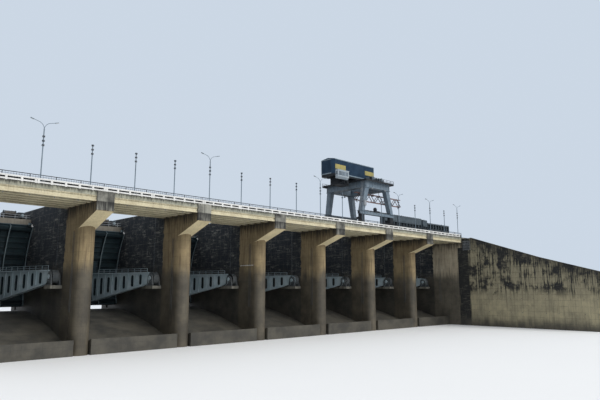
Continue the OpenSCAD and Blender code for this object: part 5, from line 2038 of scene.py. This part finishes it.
@dataclass
class BeamFittings(Fittings):
    """Sheave blocks, hooks, gussets and lacing of the lifting beam.

    Attributes:
        cells: number of lattice cells.
    """

    body: str = "hook_beam"
    slot: str = "lattice_steel"
    cells: int = 10

    def __post_init__(self) -> None:
        """Find the lifting beam."""
        self.low, self.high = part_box("lifting_beam")
        self.middle = (self.low.y + self.high.y) / 2

    def build(self) -> None:
        """Add every piece."""
        self._sheaves()
        self._hooks()
        self._lattice()

    def _sheaves(self) -> None:
        """Blocks with two sheaves each where the ropes meet the beam."""
        blocks = Workpiece("beam_sheaves")
        low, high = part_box("beam_rope_falls")
        z = self.high.z - 0.02
        for x in (low.x + 0.004, high.x - 0.004):
            for side in BOTH:
                blocks.prism([(-0.03, -0.03), (0.03, -0.03), (0.024, 0.04), (-0.024, 0.04)],
                             plane_at((x, self.middle + side * 0.024, z), ALONG, UP), 0.006)
                ends = sorted((self.middle + side * 0.006, self.middle + side * 0.034))
                blocks.rod((x, ends[0], z), (x, ends[1], z), 0.026, 20)
        self.fit(blocks, "bracket_paint", smooth=True)

    def _hooks(self) -> None:
        """A hook with its shank at each end."""
        hooks = Workpiece("beam_hooks")
        z = self.low.z
        for x, way in ((self.low.x + 0.06, 1), (self.high.x - 0.06, -1)):
            hooks.slab((x, self.middle, z - 0.02), (0.02, 0.07, 0.07))
            centre = Vector((x + way * 0.03, self.middle, z - 0.03))
            hooks.path(half_ring(centre, ALONG * way * -0.03, UP * -0.03, 8, math.pi * 0.9), 0.008, 8)
            hooks.rod((x, self.middle, z - 0.03), (x, self.middle, z + 0.01), 0.008, 8)
        self.fit(hooks, "bracket_paint", smooth=True)

    def _lattice(self) -> None:
        """Gussets on the chords and the lacing between them, on both sides."""
        knots = Workpiece("beam_gussets")
        lacing = Workpiece("beam_lacing")
        foot, head = self.low.z + 0.008, self.high.z - 0.008
        nodes = spread(self.low.x, self.high.x, self.cells + 1)
        for y in (self.low.y - 0.003, self.high.y + 0.003):
            for node in nodes:
                x = min(max(node, self.low.x + 0.03), self.high.x - 0.03)
                for z, away in ((foot, UP), (head, -UP)):
                    knots.prism([(-0.026, -0.008), (0.026, -0.008), (0.01, 0.022), (-0.01, 0.022)],
                                plane_at((x, y, z), ALONG, away), 0.004)
            for i, (x0, x1) in enumerate(zip(nodes, nodes[1:])):
                start, end = (foot, head) if i % 2 == 0 else (head, foot)
                lacing.bar((x0, y, start), (x1, y, end), 0.02, 0.006, UPSTREAM)
        self.fit(knots, "lattice_paint")
        self.fit(lacing, "crane_dark")


@dataclass
class Studio:
    """Floor, lamps and camera round the model.

    Attributes:
        camera_spot: where the camera stands.
        yaw_deg: its direction from +X towards +Y.
        pitch_deg: its tilt above the level.
        view_end: how far it sees.
        floor_half: half the floor's size.
        haze: distances between which the floor turns into the backdrop.
        sky: strength of the light from all sides.
        sun: strength of the key light.
        sun_from: direction towards the key light.
        sun_spread_deg: how soft the key light's shadows are.
    """

    camera_spot: Spot = (-11.432, -11.012, 1.4)
    yaw_deg: float = 45.654
    pitch_deg: float = 9.307
    lens_mm: float = 32.5
    sensor_mm: float = 36.0
    view_end: float = 900.0
    floor_half: float = 400.0
    floor_light: Colour = (0.78, 0.79, 0.8)
    floor_dark: Colour = (0.7, 0.71, 0.72)
    haze: Spot = (18.0, 60.0)
    backdrop: Colour = (0.60, 0.68, 0.78)
    sky: float = 0.85
    sky_tint: Colour = (0.93, 0.96, 1.0)
    sun: float = 1.9
    sun_tint: Colour = (1.0, 0.975, 0.93)
    sun_from: Spot = (0.2, -0.75, 0.62)
    sun_spread_deg: float = 35.0

    def build(self) -> None:
        """Make the floor, the world, the key light and the camera."""
        self._floor()
        self._world()
        self._key_light()
        self._camera()
        bpy.context.scene.view_settings.view_transform = "Standard"

    @staticmethod
    def _placed(name: str, data: bpy.types.ID) -> bpy.types.Object:
        """Return a new object of the scene."""
        made = bpy.data.objects.new(name, data)
        bpy.context.scene.collection.objects.link(made)
        return made

    def _floor_material(self) -> bpy.types.Material:
        """Return a pale floor that turns into the backdrop's colour far away."""
        material, graph, shader = new_material("studio_floor", self.backdrop)
        place = graph.place()
        away = graph.length(*graph.split(place)[:2])
        cloud = graph.times(graph.noise(place, 0.3), 0.2)
        graph.feed(shader.inputs["Base Color"], graph.mix(cloud, self.floor_light, self.floor_dark))
        shader.inputs["Roughness"].default_value = 0.9
        glow = graph.node("Emission")
        graph.feed(glow.inputs["Color"], self.backdrop)
        path = graph.node("LightPath")
        seen = graph.times(graph.between(away, *self.haze), path.outputs["Is Camera Ray"])
        graph.show(seen, shader.outputs[0], glow.outputs[0], "OUTPUT_MATERIAL")
        return material

    def _floor(self) -> None:
        """Lay the floor."""
        half = self.floor_half
        mesh = bpy.data.meshes.new("studio_floor")
        corners = [(-half, -half, 0.0), (half, -half, 0.0), (half, half, 0.0), (-half, half, 0.0)]
        mesh.from_pydata(corners, [], [(0, 1, 2, 3)])
        mesh.materials.append(self._floor_material())
        self._placed("studio_floor", mesh)

    def _world(self) -> None:
        """Light the scene evenly and show the backdrop's colour to the camera and to gloss."""
        world = bpy.data.worlds.new("studio")
        world.use_nodes = True
        bpy.context.scene.world = world
        graph = Graph(world.node_tree)
        light = world.node_tree.nodes["Background"]
        graph.feed(light.inputs["Color"], self.sky_tint)
        light.inputs["Strength"].default_value = self.sky
        shown = graph.node("Background")
        graph.feed(shown.inputs["Color"], self.backdrop)
        path = graph.node("LightPath")
        seen = graph.larger(path.outputs["Is Camera Ray"], path.outputs["Is Glossy Ray"])
        seen = graph.larger(seen, path.outputs["Is Transmission Ray"])
        graph.show(seen, light.outputs[0], shown.outputs[0], "OUTPUT_WORLD")

    def _key_light(self) -> None:
        """Set the key light."""
        lamp = bpy.data.lights.new("key_light", "SUN")
        lamp.energy = self.sun
        lamp.angle = math.radians(self.sun_spread_deg)
        lamp.color = self.sun_tint
        key = self._placed("key_light", lamp)
        key.rotation_euler = Vector(self.sun_from).to_track_quat("Z", "Y").to_euler()

    def _camera(self) -> None:
        """Stand the camera where the photo was taken from."""
        lens = bpy.data.cameras.new("photo_view")
        lens.lens = self.lens_mm
        lens.sensor_width = self.sensor_mm
        lens.clip_end = self.view_end
        camera = self._placed("photo_view", lens)
        camera.location = self.camera_spot
        camera.rotation_euler = (math.radians(90.0 + self.pitch_deg), 0.0, math.radians(self.yaw_deg - 90.0))
        bpy.context.scene.camera = camera


def main() -> None:
    """Build every sub-assembly."""
    logging.basicConfig(level=logging.INFO, format="%(name)s: %(message)s")
    site = Site()
    finishes = FinishShop(site)
    NodeFinishes().dress(finishes)
    for fittings in (DeckFittings, PierFittings, HoistFittings, StoplogFittings, WallFittings,
                     CraneFittings, TrolleyFittings, BeamFittings):
        fittings(site, finishes).build()
    for k in range(site.bays):
        GateFittings(site, finishes, bay=k).build()
    Studio().build()


if __name__ == "__main__":
    main()
